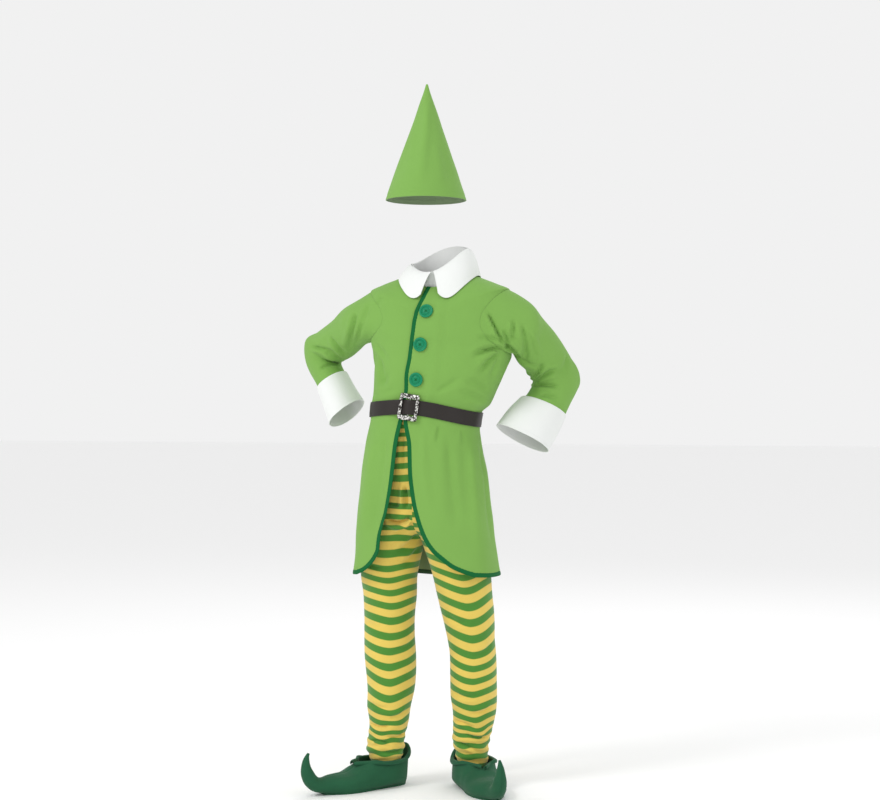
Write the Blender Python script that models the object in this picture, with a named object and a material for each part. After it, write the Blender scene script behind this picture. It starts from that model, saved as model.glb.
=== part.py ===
"""A child's elf costume, worn, with no wearer: a cone hat, a cutaway coat with collar and cuffs, a belt with
its buckle, striped trousers and curled-toe shoes. Metres, +Z up. The wearer faces -Y, and +X is their left.
Heights in the tables are above the soles, and the whole hangs from an empty at the coat's neck opening."""

import math

import bmesh
import bpy
import numpy as np
from mathutils import Matrix

# Driving sizes
NECK_HEIGHT = 1.060
CLOTH = 0.0016
FELT = 0.0020
BINDING_THICK = 0.0024
BINDING_WIDE = 0.0080
SEAM = 0.0003
SQUARENESS = 2.3
VIEW = math.radians(16)
FRONT = -math.pi / 2
PROBE = 1e-4

ARM_BOTTOM, ARM_TOP = 0.920, 1.040
ARM_OPENING = math.radians(34)
NECK_LEVEL = 1.076
HEM_LEVEL = 0.444
BELT_LOW, BELT_HIGH = 0.7635, 0.7945
BELT_THICK = 0.0022
BELT_CLEAR = 0.0011
BELT_OVER_BAR = 0.0030
WAIST_LOW, WAIST_HIGH = 0.7660, 0.7925
CENTRE_SEAM = -0.036

BUTTON_RADIUS, BUTTON_THICK, BUTTON_HOLE = 0.0147, 0.0042, 0.0014
BUTTON_LEVELS = {
    "button_top": (1.0445, -93.4),
    "button_middle": (0.9117, -98.9),
    "button_bottom": (0.8370, -97.1),
}

COLOURS = {
    "coat_green": (0.235, 0.451, 0.102, 0.80, 0.0),
    "binding_green": (0.010, 0.160, 0.048, 0.60, 0.0),
    "white_cloth": (0.87, 0.90, 0.86, 0.80, 0.0),
    "button_green": (0.012, 0.300, 0.130, 0.30, 0.0),
    "belt_black": (0.040, 0.034, 0.030, 0.45, 0.0),
    "buckle_silver": (0.62, 0.62, 0.60, 0.30, 1.0),
    "stripe_yellow": (0.77, 0.58, 0.11, 0.85, 0.0),
    "shoe_green": (0.030, 0.120, 0.058, 0.85, 0.0),
}


def table(names, rows):
    """The columns of some rows, by name."""
    return dict(zip(names.split(), np.array(rows, float).T))


def smooth(x, xs, ys):
    """The value at x of a curve through the rows that doesn't overshoot them."""
    gaps = np.diff(xs)
    slopes = np.diff(ys) / gaps
    bends = np.zeros(len(xs))
    same = slopes[1:] * slopes[:-1] > 0
    bends[1:-1][same] = 2 * slopes[1:][same] * slopes[:-1][same] / (slopes[1:] + slopes[:-1])[same]
    bends[0], bends[-1] = slopes[0], slopes[-1]
    i = np.clip(np.searchsorted(xs, x) - 1, 0, len(xs) - 2)
    t = (np.asarray(x, float) - xs[i]) / gaps[i]
    start = ys[i] * (1 + 2 * t) * (1 - t) ** 2 + bends[i] * gaps[i] * t * (1 - t) ** 2
    return start + ys[i + 1] * t * t * (3 - 2 * t) + bends[i + 1] * gaps[i] * t * t * (t - 1)


def ease(t):
    """0 to 1 with soft ends."""
    t = np.clip(t, 0, 1)
    return t * t * (3 - 2 * t)


# The coat's rings. The level is the height of a ring's sides, and its front and back rise from there.
BODY = table("level middle half_width front back front_rise back_rise tilt", [
    (0.440, -0.029, 0.157, 0.118, 0.124, 0.0110, -0.0120, 0.000),
    (0.480, -0.030, 0.151, 0.115, 0.120, 0.0110, -0.0110, 0.000),
    (0.540, -0.032, 0.145, 0.110, 0.115, 0.0120, -0.0120, -0.010),
    (0.600, -0.032, 0.139, 0.106, 0.110, 0.0140, -0.0140, -0.030),
    (0.660, -0.033, 0.133, 0.100, 0.104, 0.0150, -0.0150, -0.050),
    (0.710, -0.034, 0.124, 0.094, 0.097, 0.0160, -0.0160, -0.070),
    (0.764, -0.032, 0.115, 0.088, 0.089, 0.0155, -0.0155, -0.085),
    (0.794, -0.029, 0.116, 0.088, 0.089, 0.0155, -0.0155, -0.085),
    (0.812, -0.018, 0.1235, 0.092, 0.093, 0.0150, -0.0150, -0.085),
    (0.842, -0.010, 0.130, 0.094, 0.095, 0.0140, -0.0140, -0.088),
    (0.890, 0.000, 0.140, 0.095, 0.097, 0.0120, -0.0080, -0.090),
    (0.920, 0.001, 0.149, 0.094, 0.096, 0.0100, -0.0050, -0.090),
    (0.960, 0.000, 0.152, 0.092, 0.095, -0.0120, -0.0170, -0.060),
    (1.000, 0.000, 0.152, 0.089, 0.092, -0.0330, -0.0280, -0.030),
    (1.040, 0.000, 0.148, 0.084, 0.087, -0.0550, -0.0400, 0.000),
    (1.052, 0.000, 0.122, 0.077, 0.080, -0.0480, -0.0300, 0.000),
    (1.063, 0.000, 0.094, 0.067, 0.070, -0.0410, -0.0180, 0.000),
    (1.076, 0.000, 0.062, 0.053, 0.056, -0.0330, -0.0040, 0.000),
])

# The skirt's largest folds: soft waves that fade out upwards, a place round the body and a width in degrees.
FLUTES = table("angle wide deep", [
    (-24, 11, 0.0050),
    (-52, 12, -0.0035),
    (-150, 11, 0.0045),
    (25, 13, -0.0040),
    (60, 12, 0.0060),
    (95, 13, -0.0045),
    (128, 12, 0.0055),
    (160, 12, -0.0040),
])
FLUTE_TOP, FLUTE_LONG = 0.700, 0.260

# The front edges, as angles round the body at each level.
LEFT_EDGE = table("level angle", [
    (0.4440, -33.0), (0.4510, -42.0), (0.4600, -51.0), (0.4720, -58.5), (0.4900, -68.5), (0.5150, -76.5),
    (0.5500, -83.5), (0.5870, -89.0), (0.6400, -93.5), (0.7010, -95.5), (0.7460, -102.0), (0.7940, -107.5),
    (0.8630, -114.0), (0.9600, -111.0), (1.0380, -110.0), (1.0560, -107.0), (1.0760, -103.0),
])
RIGHT_EDGE = table("level angle", [
    (0.4440, -148.0), (0.4500, -140.0), (0.4600, -133.5), (0.4750, -127.5), (0.4950, -123.5),
    (0.5190, -123.0), (0.5450, -120.5), (0.5660, -117.0), (0.6270, -112.3), (0.6970, -109.0),
    (0.7480, -105.0), (0.7800, -102.0), (0.8300, -96.0), (0.8800, -89.0), (0.9400, -84.0),
    (1.0400, -80.0), (1.0760, -78.0),
])
LAP_LIFT = 0.0034
LAP_WIDE = math.radians(46)


def body(angle, level):
    """Points of the coat's outer face. The angle is 0 at the wearer's left side and -90 degrees in front."""
    row = {name: smooth(level, BODY["level"], column) for name, column in BODY.items()}
    across, along = np.cos(angle), np.sin(angle)
    depth = np.where(along < 0, row["front"], row["back"])
    reach = (np.abs(across) / row["half_width"]) ** SQUARENESS + (np.abs(along) / depth) ** SQUARENESS
    reach = reach ** (-1 / SQUARENESS)
    fade = ease((FLUTE_TOP - level) / FLUTE_LONG)
    for place, wide, deep in zip(FLUTES["angle"], FLUTES["wide"], FLUTES["deep"]):
        off = (np.degrees(angle) - place + 180) % 360 - 180
        reach = reach + deep * fade * np.exp(-((off / wide) ** 2))
    rise = np.where(along < 0, row["front_rise"], row["back_rise"])
    height = level + rise * along * along + row["tilt"] * reach * across
    return np.stack([row["middle"] + reach * across, reach * along, height], -1)


def outward(surface, a, b):
    """Unit normals of a surface of two numbers."""
    over_a = surface(a + PROBE, b) - surface(a - PROBE, b)
    over_b = surface(a, b + PROBE) - surface(a, b - PROBE)
    normal = np.cross(over_a, over_b)
    return normal / np.linalg.norm(normal, axis=-1, keepdims=True)


def lifted(surface, a, b, out):
    """Points of a surface moved out along its normals."""
    return surface(a, b) + outward(surface, a, b) * np.asarray(out)[..., None]


def unit(vector):
    return vector / np.linalg.norm(vector, axis=-1, keepdims=True)


def material(name):
    """A Principled material of one of the part's colours."""
    red, green, blue, rough, metal = COLOURS[name]
    made = bpy.data.materials.get(name) or bpy.data.materials.new(name)
    made.use_nodes = True
    shader = made.node_tree.nodes["Principled BSDF"]
    shader.inputs["Base Color"].default_value = (red, green, blue, 1)
    shader.inputs["Roughness"].default_value = rough
    shader.inputs["Metallic"].default_value = metal
    return made


def add_mesh(name, form, finish, parent):
    """An object of a finished bmesh, shaded smooth but for its rims."""
    bmesh.ops.recalc_face_normals(form, faces=form.faces)
    mesh = bpy.data.meshes.new(name)
    form.to_mesh(mesh)
    form.free()
    mesh.shade_smooth()
    mesh.set_sharp_from_angle(angle=math.radians(50))
    mesh.materials.append(material(finish))
    thing = bpy.data.objects.new(name, mesh)
    thing.parent = parent
    bpy.context.scene.collection.objects.link(thing)
    return thing


def add_wall(name, outer, inner, finish, parent, loop=False):
    """A closed wall between two grids of points. With loop, the last column joins the first."""
    form = bmesh.new()
    rows, columns = outer.shape[:2]
    skins = []
    for grid in (outer, inner):
        skins.append([[form.verts.new(point) for point in row] for row in grid])
    steps = columns if loop else columns - 1

    def quad(a, b, c, d):
        form.faces.new((a, b, c))
        form.faces.new((a, c, d))

    for i in range(rows - 1):
        for j in range(steps):
            k = (j + 1) % columns
            for skin in skins:
                quad(skin[i][j], skin[i][k], skin[i + 1][k], skin[i + 1][j])
    for j in range(steps):
        k = (j + 1) % columns
        for i in (0, rows - 1):
            quad(skins[0][i][j], skins[0][i][k], skins[1][i][k], skins[1][i][j])
    if not loop:
        for i in range(rows - 1):
            for j in (0, columns - 1):
                quad(skins[0][i][j], skins[0][i + 1][j], skins[1][i + 1][j], skins[1][i][j])
    return add_mesh(name, form, finish, parent)


def inset(surface, path, distance):
    """A path of two numbers on a surface, moved over the surface square to itself, to its left."""
    a, b = path[:, 0], path[:, 1]
    points = surface(a, b)
    run = unit(np.gradient(points, axis=0))
    side = unit(np.cross(outward(surface, a, b), run)) * distance
    over_a = (surface(a + PROBE, b) - surface(a - PROBE, b)) / (2 * PROBE)
    over_b = (surface(a, b + PROBE) - surface(a, b - PROBE)) / (2 * PROBE)
    moved = []
    for index in range(len(path)):
        frame = np.stack([over_a[index], over_b[index]], -1)
        moved.append(np.linalg.lstsq(frame, side[index], rcond=None)[0])
    return path + np.array(moved)


def arm_rows(count):
    """Angles round an armhole from its bottom to its top."""
    return np.linspace(0, math.pi, count + 1)


def arm_level(turn):
    return ARM_BOTTOM + (ARM_TOP - ARM_BOTTOM) * (1 - np.cos(turn)) / 2


def arm_edge(turn):
    return ARM_OPENING * np.sin(turn)


ARM_STEPS = 8
SKIRT_LEVELS = (0.4523, 0.460, 0.472, 0.490, 0.515, 0.550, 0.600, 0.655, 0.710)
WAIST_LEVELS = (0.745, 0.7625, 0.779, 0.7953, 0.803, 0.814, 0.835, 0.875)
SHOULDER_LEVELS = (1.047, 1.056, 1.066, 1.0755)


def panel_levels():
    """Each row's level and how far the panel's side edge is drawn back from the side line."""
    turns = arm_rows(ARM_STEPS)
    levels = list(SKIRT_LEVELS) + list(WAIST_LEVELS) + list(arm_level(turns)) + list(SHOULDER_LEVELS)
    plain = len(SKIRT_LEVELS) + len(WAIST_LEVELS)
    backs = [0.0] * plain + list(arm_edge(turns)) + [0.0] * len(SHOULDER_LEVELS)
    return np.array(levels), np.array(backs)


def seam_angle(levels):
    """Half a seam's gap as an angle at each level."""
    return SEAM / 2 / smooth(levels, BODY["level"], BODY["half_width"])


def lap(angle, level):
    """How far the upper front is lifted over the under front."""
    edge = np.radians(smooth(level, LEFT_EDGE["level"], LEFT_EDGE["angle"]))
    over = ease((edge + LAP_WIDE - angle) / math.radians(14))
    return LAP_LIFT * over * ease((level - 0.700) / 0.045)


def left_front(angle, level):
    """The upper front's outer face."""
    return lifted(body, angle, level, lap(angle, level))


def edge_path(edge, side_angle, corner_count):
    """A front panel's free edge from its side seam along the hem and up to the neck, as angles and levels."""
    start = math.radians(edge["angle"][0])
    hem = [(angle, HEM_LEVEL) for angle in np.linspace(side_angle, start, corner_count)[:-1]]
    levels = np.concatenate([
        HEM_LEVEL + np.array([0, 0.0012, 0.0035]),
        [level for level in SKIRT_LEVELS if level > HEM_LEVEL + 0.005],
        WAIST_LEVELS,
        np.linspace(0.925, 1.030, 6),
        SHOULDER_LEVELS[:-1],
        [SHOULDER_LEVELS[-1]],
    ])
    angles = np.radians(smooth(levels, edge["level"], edge["angle"]))
    return np.array(hem + list(zip(angles, levels)))


def add_binding(name, surface, path, root, turn=1):
    """A folded strip along an edge, a little thicker than the cloth that it holds."""
    proud = (BINDING_THICK - CLOTH) / 2
    far = inset(surface, path, turn * BINDING_WIDE)
    strip = np.stack([path, far], 1)
    angles, levels = strip[..., 0], strip[..., 1]
    outer = lifted(surface, angles, levels, np.full(angles.shape, proud))
    inner = lifted(surface, angles, levels, np.full(angles.shape, proud - BINDING_THICK))
    return add_wall(name, outer, inner, "binding_green", root)


def add_front(name, surface, edge, side, columns, root):
    """A front panel with its binding. side is 1 for the wearer's left and -1 for their right."""
    levels, backs = panel_levels()
    sides = -seam_angle(levels) - backs
    side_start = -SEAM / 2 / BODY["half_width"][0]
    if side < 0:
        sides = -math.pi - sides
        side_start = -math.pi - side_start
    path = edge_path(edge, side_start, 8)
    add_binding("binding_front_" + ("left" if side > 0 else "right"), surface, path, root, -side)
    inner_line = inset(surface, path, -side * (BINDING_WIDE + 2 * SEAM))
    rising = inner_line[7:]
    rising = rising[np.argsort(rising[:, 1])]
    fronts = np.interp(levels, rising[:, 1], rising[:, 0])
    levels = levels.copy()
    levels[0] = HEM_LEVEL + BINDING_WIDE + SEAM
    share = np.linspace(0, 1, columns)
    angles = sides[:, None] + (fronts - sides)[:, None] * share
    rows = np.repeat(levels[:, None], columns, 1)
    # The lowest row follows the binding's inner line all the way to the side seam.
    hem_line = inner_line[:8][::-side]
    hem_line = hem_line[np.argsort(hem_line[:, 0])]
    rows[0] = np.interp(angles[0], hem_line[:, 0], hem_line[:, 1])
    outer = surface(angles, rows)
    inner = outer - outward(surface, angles, rows) * CLOTH
    return add_wall(name, outer, inner, "coat_green", root)


def add_back(root):
    """The back panel and its hem's binding."""
    columns = 17
    levels, backs = panel_levels()
    gap = seam_angle(levels)
    share = np.linspace(0, 1, columns)
    starts = gap + backs
    angles = starts[:, None] + (math.pi - 2 * starts)[:, None] * share
    levels[0] = HEM_LEVEL + BINDING_WIDE + SEAM
    rows = np.repeat(levels[:, None], columns, 1)
    hem_gap = SEAM / 2 / BODY["half_width"][0]
    hem = np.linspace(hem_gap, math.pi - hem_gap, columns + 6)
    path = np.stack([hem, np.full(hem.shape, HEM_LEVEL)], -1)
    add_binding("binding_back", body, path, root, 1)
    inner_line = inset(body, path, BINDING_WIDE + SEAM)
    rows[0] = np.interp(angles[0], inner_line[:, 0], inner_line[:, 1])
    outer = body(angles, rows)
    inner = outer - outward(body, angles, rows) * CLOTH
    return add_wall("coat_back", outer, inner, "coat_green", root)


def facing(across, height, depth):
    """A point given across and behind a plane that is turned to the view, as the arms are drawn."""
    x = across * np.cos(VIEW) - depth * np.sin(VIEW)
    y = across * np.sin(VIEW) + depth * np.cos(VIEW)
    return np.stack([x, y, height], -1)


# The sleeves' sections: where each starts on the outline's outer and inner side, how far back it lies and
# half its depth. Across and height are in a plane turned to the view.
ARM_COLUMNS = "outer_across outer_height inner_across inner_height back deep"
SLEEVE_RIGHT = table(ARM_COLUMNS, [
    (-0.1745, 1.0205, -0.1655, 0.9265, 0.060, 0.052),
    (-0.2020, 1.0075, -0.1790, 0.9145, 0.090, 0.050),
    (-0.2290, 0.9835, -0.1935, 0.9030, 0.120, 0.048),
    (-0.2680, 0.9560, -0.2075, 0.8965, 0.150, 0.048),
    (-0.2935, 0.9390, -0.2145, 0.8935, 0.168, 0.048),
    (-0.2965, 0.9185, -0.2160, 0.8905, 0.170, 0.048),
    (-0.2940, 0.8945, -0.2150, 0.8860, 0.168, 0.047),
    (-0.2850, 0.8710, -0.2115, 0.8785, 0.162, 0.046),
    (-0.2740, 0.8515, -0.2085, 0.8725, 0.156, 0.045),
    (-0.2620, 0.8300, -0.2050, 0.8665, 0.148, 0.044),
    (-0.2575, 0.8215, -0.2005, 0.8580, 0.145, 0.044),
])
SLEEVE_LEFT = table(ARM_COLUMNS, [
    (0.1810, 1.0165, 0.1590, 0.9035, -0.030, 0.055),
    (0.2115, 0.9840, 0.1680, 0.8855, -0.012, 0.053),
    (0.2415, 0.9510, 0.1815, 0.8735, 0.005, 0.050),
    (0.2635, 0.9200, 0.1890, 0.8620, 0.018, 0.048),
    (0.2805, 0.8925, 0.1935, 0.8545, 0.026, 0.047),
    (0.2915, 0.8695, 0.1960, 0.8480, 0.030, 0.046),
    (0.2945, 0.8480, 0.1945, 0.8405, 0.030, 0.045),
    (0.2880, 0.8250, 0.1900, 0.8310, 0.026, 0.043),
    (0.2770, 0.8040, 0.1835, 0.8215, 0.020, 0.041),
    (0.2600, 0.7720, 0.1750, 0.8125, 0.010, 0.038),
    (0.2545, 0.7630, 0.1705, 0.8030, 0.006, 0.038),
])
CUFF_RIGHT = table(ARM_COLUMNS, [
    (-0.2670, 0.8322, -0.2030, 0.8707, 0.150, 0.0465),
    (-0.2535, 0.7990, -0.1850, 0.8385, 0.136, 0.0540),
    (-0.2370, 0.7535, -0.1660, 0.8080, 0.121, 0.0600),
])
CUFF_LEFT = table(ARM_COLUMNS, [
    (0.2648, 0.7748, 0.1705, 0.8167, 0.012, 0.0416),
    (0.2490, 0.7420, 0.1440, 0.7910, -0.004, 0.0450),
    (0.2260, 0.7015, 0.1190, 0.7575, -0.020, 0.0480),
])


def sections(rows, turns):
    """Rings of a tube from its outer and inner outline. Turn 0 is the inner side and 90 degrees the front."""
    outer = facing(rows["outer_across"], rows["outer_height"], rows["back"])
    inner = facing(rows["inner_across"], rows["inner_height"], rows["back"])
    middle = (outer + inner) / 2
    reach = (inner - outer) / 2
    towards = np.array([math.sin(VIEW), -math.cos(VIEW), 0.0])
    run = unit(np.gradient(middle, axis=0))
    for _ in range(4):
        run[1:-1] = unit(run[:-2] + 2 * run[1:-1] + run[2:])
    side = unit(reach)
    front = towards - (side @ towards)[:, None] * side
    run = unit(run - (run * side).sum(-1, keepdims=True) * side)
    front = unit(front - 0.7 * (front * run).sum(-1, keepdims=True) * run)
    swing = np.cos(turns)[None, :, None] * reach[:, None]
    return middle[:, None] + swing + np.sin(turns)[None, :, None] * (front * rows["deep"][:, None])[:, None]


def grid_normals(grid):
    """Outward normals of a tube's rings, from its middle line."""
    over_rows = np.gradient(grid, axis=0)
    over_columns = (np.roll(grid, -1, 1) - np.roll(grid, 1, 1)) / 2
    normal = unit(np.cross(over_columns, over_rows))
    away = grid - grid.mean(1, keepdims=True)
    flip = np.sign((normal * away).sum(-1).mean())
    return normal * flip


def armhole(side, turns):
    """A coat's armhole: its points, the way out over the hole, and the coat's normals there."""
    around = -side * arm_edge(turns)
    angle = around if side > 0 else math.pi + around
    level = arm_level(turns)
    points = body(angle, level)
    normals = outward(body, angle, level)
    run = unit(np.roll(points, -1, 0) - np.roll(points, 1, 0))
    away = unit(np.cross(run, normals))
    away = away * np.sign((away * (points.mean(0) - points)).sum(-1))[:, None]
    return points, away, normals


def add_sleeve(name, rows, side, root):
    """A sleeve from the armhole to just inside its cuff."""
    turns = np.linspace(0, 2 * math.pi, 2 * ARM_STEPS, endpoint=False)
    hole, away, coat_normals = armhole(side, turns)
    rings = sections(rows, turns)
    first = hole + away * 2 * SEAM
    grid = np.concatenate([first[None], rings])
    normals = grid_normals(grid)
    # The first ring's wall leans away from the coat's, so that the two rims stay apart.
    lean = np.clip((normals[0] * away).sum(-1), 0, None)
    normals[0] = unit(normals[0] - lean[:, None] * away)
    return add_wall(name, grid, grid - normals * CLOTH, "coat_green", root, loop=True)


def add_cuff(name, rows, root):
    turns = np.linspace(0, 2 * math.pi, 20, endpoint=False)
    grid = sections(rows, turns)
    return add_wall(name, grid, grid - grid_normals(grid) * CLOTH, "white_cloth", root, loop=True)


# The collar. Its roll line is a ring higher at the back and on the wearer's left.
ROLL = {"half_width": 0.0605, "front": 0.0570, "back": 0.0590, "side_height": 1.112}
ROLL_FRONT, ROLL_BACK, ROLL_TILT = -0.035, 0.022, 0.24
# The fall's lower edge, how much lower it hangs in front and how much higher it lies at the sides.
COLLAR_LEVEL, COLLAR_DIP, COLLAR_RISE = 1.0605, 0.0080, 0.0065
LOBE_LEFT, LOBE_RIGHT = math.radians(-78), math.radians(-111)
LOBE_ROUND = math.radians(30)
FALL_CLEAR = 0.0009
STAND_INSET, STAND_DROP = 0.0021, 0.0030


def ring_at(angle, shape, heights):
    """A superellipse ring whose height changes from side to front or back."""
    side_height, front_rise, back_rise, tilt = heights
    across, along = np.cos(angle), np.sin(angle)
    depth = np.where(along < 0, shape["front"], shape["back"])
    reach = (np.abs(across) / shape["half_width"]) ** 2.1 + (np.abs(along) / depth) ** 2.1
    reach = reach ** (-1 / 2.1)
    rise = np.where(along < 0, front_rise, back_rise)
    height = side_height + rise * along * along + tilt * reach * across
    return np.stack([reach * across, reach * along, height], -1)


def roll_line(angle, out=0.0, up=0.0):
    shape = {key: ROLL[key] + out for key in ("half_width", "front", "back")}
    return ring_at(angle, shape, (ROLL["side_height"] + up, ROLL_FRONT, ROLL_BACK, ROLL_TILT))


def add_collar(root):
    """The stand, closed in front, and the fall over it, parted in front."""
    turns = np.linspace(0, 2 * math.pi, 24, endpoint=False)
    neck = body(turns, np.full(turns.shape, NECK_LEVEL))
    low = neck - unit(neck * np.array([1, 1, 0])) * STAND_INSET - np.array([0, 0, STAND_DROP])
    high = roll_line(turns, -0.0022, -0.0012)
    middle = (low + high) / 2 + unit(high * np.array([1, 1, 0])) * -0.001
    grid = np.stack([low, middle, high])
    add_wall("collar_stand", grid, grid - grid_normals(grid) * CLOTH, "white_cloth", root, loop=True)

    columns = 33
    share = np.linspace(0, 1, columns)
    drops = np.array([0.0, 0.15, 0.42, 0.72, 1.0])
    starts = FRONT + np.interp(drops, [0, 1], [math.radians(1.0), LOBE_LEFT - FRONT])
    ends = FRONT + 2 * math.pi + np.interp(drops, [0, 1], [math.radians(-1.0), LOBE_RIGHT - FRONT])
    grid = np.empty((len(drops), columns, 3))
    for index, (start, end) in enumerate(zip(starts, ends)):
        angle = start + (end - start) * share
        near = np.minimum(angle - start, end - angle)
        short = 1 - 0.22 * (1 - np.clip(near / LOBE_ROUND, 0, 1)) ** 2.5
        drop = drops[index] * short
        roll = roll_line(angle)
        clear = np.full(angle.shape, FALL_CLEAR + CLOTH)
        level = COLLAR_LEVEL - COLLAR_DIP * np.clip(-np.sin(angle), 0, 1) ** 3
        level = level + COLLAR_RISE * np.cos(angle) ** 2
        shoulder = lifted(body, angle, level, clear)
        bend = roll_line(angle, 0.0135, -0.004)
        weight = drop[:, None]
        grid[index] = roll * (1 - weight) ** 2 + bend * 2 * weight * (1 - weight) + shoulder * weight**2
    over_rows = np.gradient(grid, axis=0)
    over_columns = np.gradient(grid, axis=1)
    normals = unit(np.cross(over_rows, over_columns))
    normals = normals * np.sign((normals * (grid - grid.mean((0, 1)))).sum(-1).mean())
    add_wall("collar_fall", grid, grid - normals * CLOTH, "white_cloth", root)


def add_belt(root):
    """The strap round the coat. It passes over the buckle's middle bar."""
    count = 48
    turns = BUCKLE_ANGLE + np.linspace(0, 2 * math.pi, count, endpoint=False)
    levels = np.array([BELT_LOW, (BELT_LOW + BELT_HIGH) / 2, BELT_HIGH])
    angles, rows = np.meshgrid(turns, levels)
    off = np.degrees((angles - BUCKLE_ANGLE + math.pi) % (2 * math.pi) - math.pi)
    over_lap = lap((angles + 3 * math.pi) % (2 * math.pi) - math.pi, rows) * ease((off + 34.0) / 20.0)
    over_bar = BELT_OVER_BAR * ease((7.0 - np.abs(off)) / 5.0)
    out = BELT_CLEAR + over_lap * 1.12 + over_bar
    inner = lifted(body, angles, rows, out)
    outer = lifted(body, angles, rows, out + BELT_THICK)
    add_wall("belt", outer, inner, "belt_black", root, loop=True)


BUCKLE_ANGLE = math.radians(-95.4)
BUCKLE_LEVEL = 0.7790
BUCKLE_HALF_WIDE, BUCKLE_HALF_HIGH = 0.0212, 0.0275
BUCKLE_BAR, BUCKLE_THICK = 0.0066, 0.0026
BUCKLE_MIDDLE_BAR = 0.0040
BUCKLE_RETURN = 0.0022
BUCKLE_LEAN = math.radians(9)
BUCKLE_OUT = LAP_LIFT + BELT_CLEAR + BELT_THICK + 0.0017


def cube(form, low, high):
    """A box between two corners."""
    made = bmesh.ops.create_cube(form, size=1)["verts"]
    low, high = np.array(low), np.array(high)
    bmesh.ops.scale(form, vec=tuple(high - low), verts=made)
    bmesh.ops.translate(form, vec=tuple((low + high) / 2), verts=made)


def add_buckle(root):
    """A tall frame in front of the strap, with a middle bar behind it. Its own +Z points out of the belt."""
    place = body(np.array(BUCKLE_ANGLE), np.array(BUCKLE_LEVEL))
    out = outward(body, np.array(BUCKLE_ANGLE), np.array(BUCKLE_LEVEL))
    rise = np.array([math.sin(BUCKLE_LEAN), 0, math.cos(BUCKLE_LEAN)])
    rise = unit(rise - (rise @ out) * out)
    wide = np.cross(rise, out)
    frame = bpy.data.objects.new("buckle_place", None)
    frame.parent = root
    frame.matrix_local = Matrix([
        (wide[0], rise[0], out[0], place[0]),
        (wide[1], rise[1], out[1], place[1]),
        (wide[2], rise[2], out[2], place[2]),
        (0, 0, 0, 1),
    ])
    bpy.context.scene.collection.objects.link(frame)

    x, y, bar = BUCKLE_HALF_WIDE, BUCKLE_HALF_HIGH, BUCKLE_BAR
    back, front = BUCKLE_OUT, BUCKLE_OUT + BUCKLE_THICK
    form = bmesh.new()
    cube(form, (-x, -y, back), (x, y, front))
    plate = add_mesh("buckle", form, "buckle_silver", frame)
    form = bmesh.new()
    cube(form, (-x + bar, -y + bar, back - 0.01), (x - bar, y - bar, front + 0.01))
    window = add_mesh("buckle_window", form, "buckle_silver", frame)
    form = bmesh.new()
    half = BUCKLE_MIDDLE_BAR / 2
    low, seat, end = LAP_LIFT + 0.0016, LAP_LIFT + 0.0030, y - bar + BUCKLE_RETURN
    cube(form, (-half, -end, low), (half, end, seat))
    cube(form, (-half, -end, low), (half, -end + BUCKLE_RETURN, back + 0.001))
    cube(form, (-half, end - BUCKLE_RETURN, low), (half, end, back + 0.001))
    bar_form = add_mesh("buckle_bar", form, "buckle_silver", frame)
    for cutter, way in ((window, "DIFFERENCE"), (bar_form, "UNION")):
        cutter.hide_render = True
        cutter.display_type = "WIRE"
        cut = plate.modifiers.new(cutter.name, "BOOLEAN")
        cut.operation = way
        cut.object = cutter
        cut.use_self = way == "UNION"


def add_button(name, level, degrees, root):
    """A round button with a raised rim and four holes, flat on the upper front."""
    angle, level = np.array(math.radians(degrees)), np.array(level)
    place = left_front(angle, level)
    out = outward(left_front, angle, level)
    side = unit(np.cross(np.array([0, 0, 1.0]), out))
    up = np.cross(out, side)
    radius, thick = BUTTON_RADIUS, BUTTON_THICK
    base = 0.0006
    profile = [
        (0.0, base), (radius * 0.86, base), (radius, base + thick * 0.35), (radius, base + thick * 0.65),
        (radius * 0.90, base + thick), (radius * 0.78, base + thick), (radius * 0.66, base + thick * 0.70),
        (0.0, base + thick * 0.62),
    ]
    form = bmesh.new()
    points = [form.verts.new((reach, 0, height)) for reach, height in profile]
    edges = [form.edges.new(pair) for pair in zip(points, points[1:])]
    bmesh.ops.spin(
        form, geom=points + edges, cent=(0, 0, 0), axis=(0, 0, 1), angle=2 * math.pi, steps=20, use_merge=True
    )
    bmesh.ops.remove_doubles(form, verts=form.verts, dist=1e-6)
    button = add_mesh(name, form, "button_green", root)
    button.matrix_local = Matrix([
        (side[0], up[0], out[0], place[0]),
        (side[1], up[1], out[1], place[1]),
        (side[2], up[2], out[2], place[2]),
        (0, 0, 0, 1),
    ])
    form = bmesh.new()
    for quarter in range(4):
        turn = math.pi / 4 + quarter * math.pi / 2
        made = bmesh.ops.create_cone(
            form, cap_ends=True, segments=6, radius1=BUTTON_HOLE, radius2=BUTTON_HOLE, depth=0.02
        )
        shift = (math.cos(turn) * radius * 0.30, math.sin(turn) * radius * 0.30, 0)
        bmesh.ops.translate(form, vec=shift, verts=made["verts"])
    holes = add_mesh(name + "_holes", form, "button_green", root)
    holes.matrix_local = button.matrix_local
    holes.hide_render = True
    holes.display_type = "WIRE"
    cut = button.modifiers.new("Holes", "BOOLEAN")
    cut.operation = "DIFFERENCE"
    cut.object = holes


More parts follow.
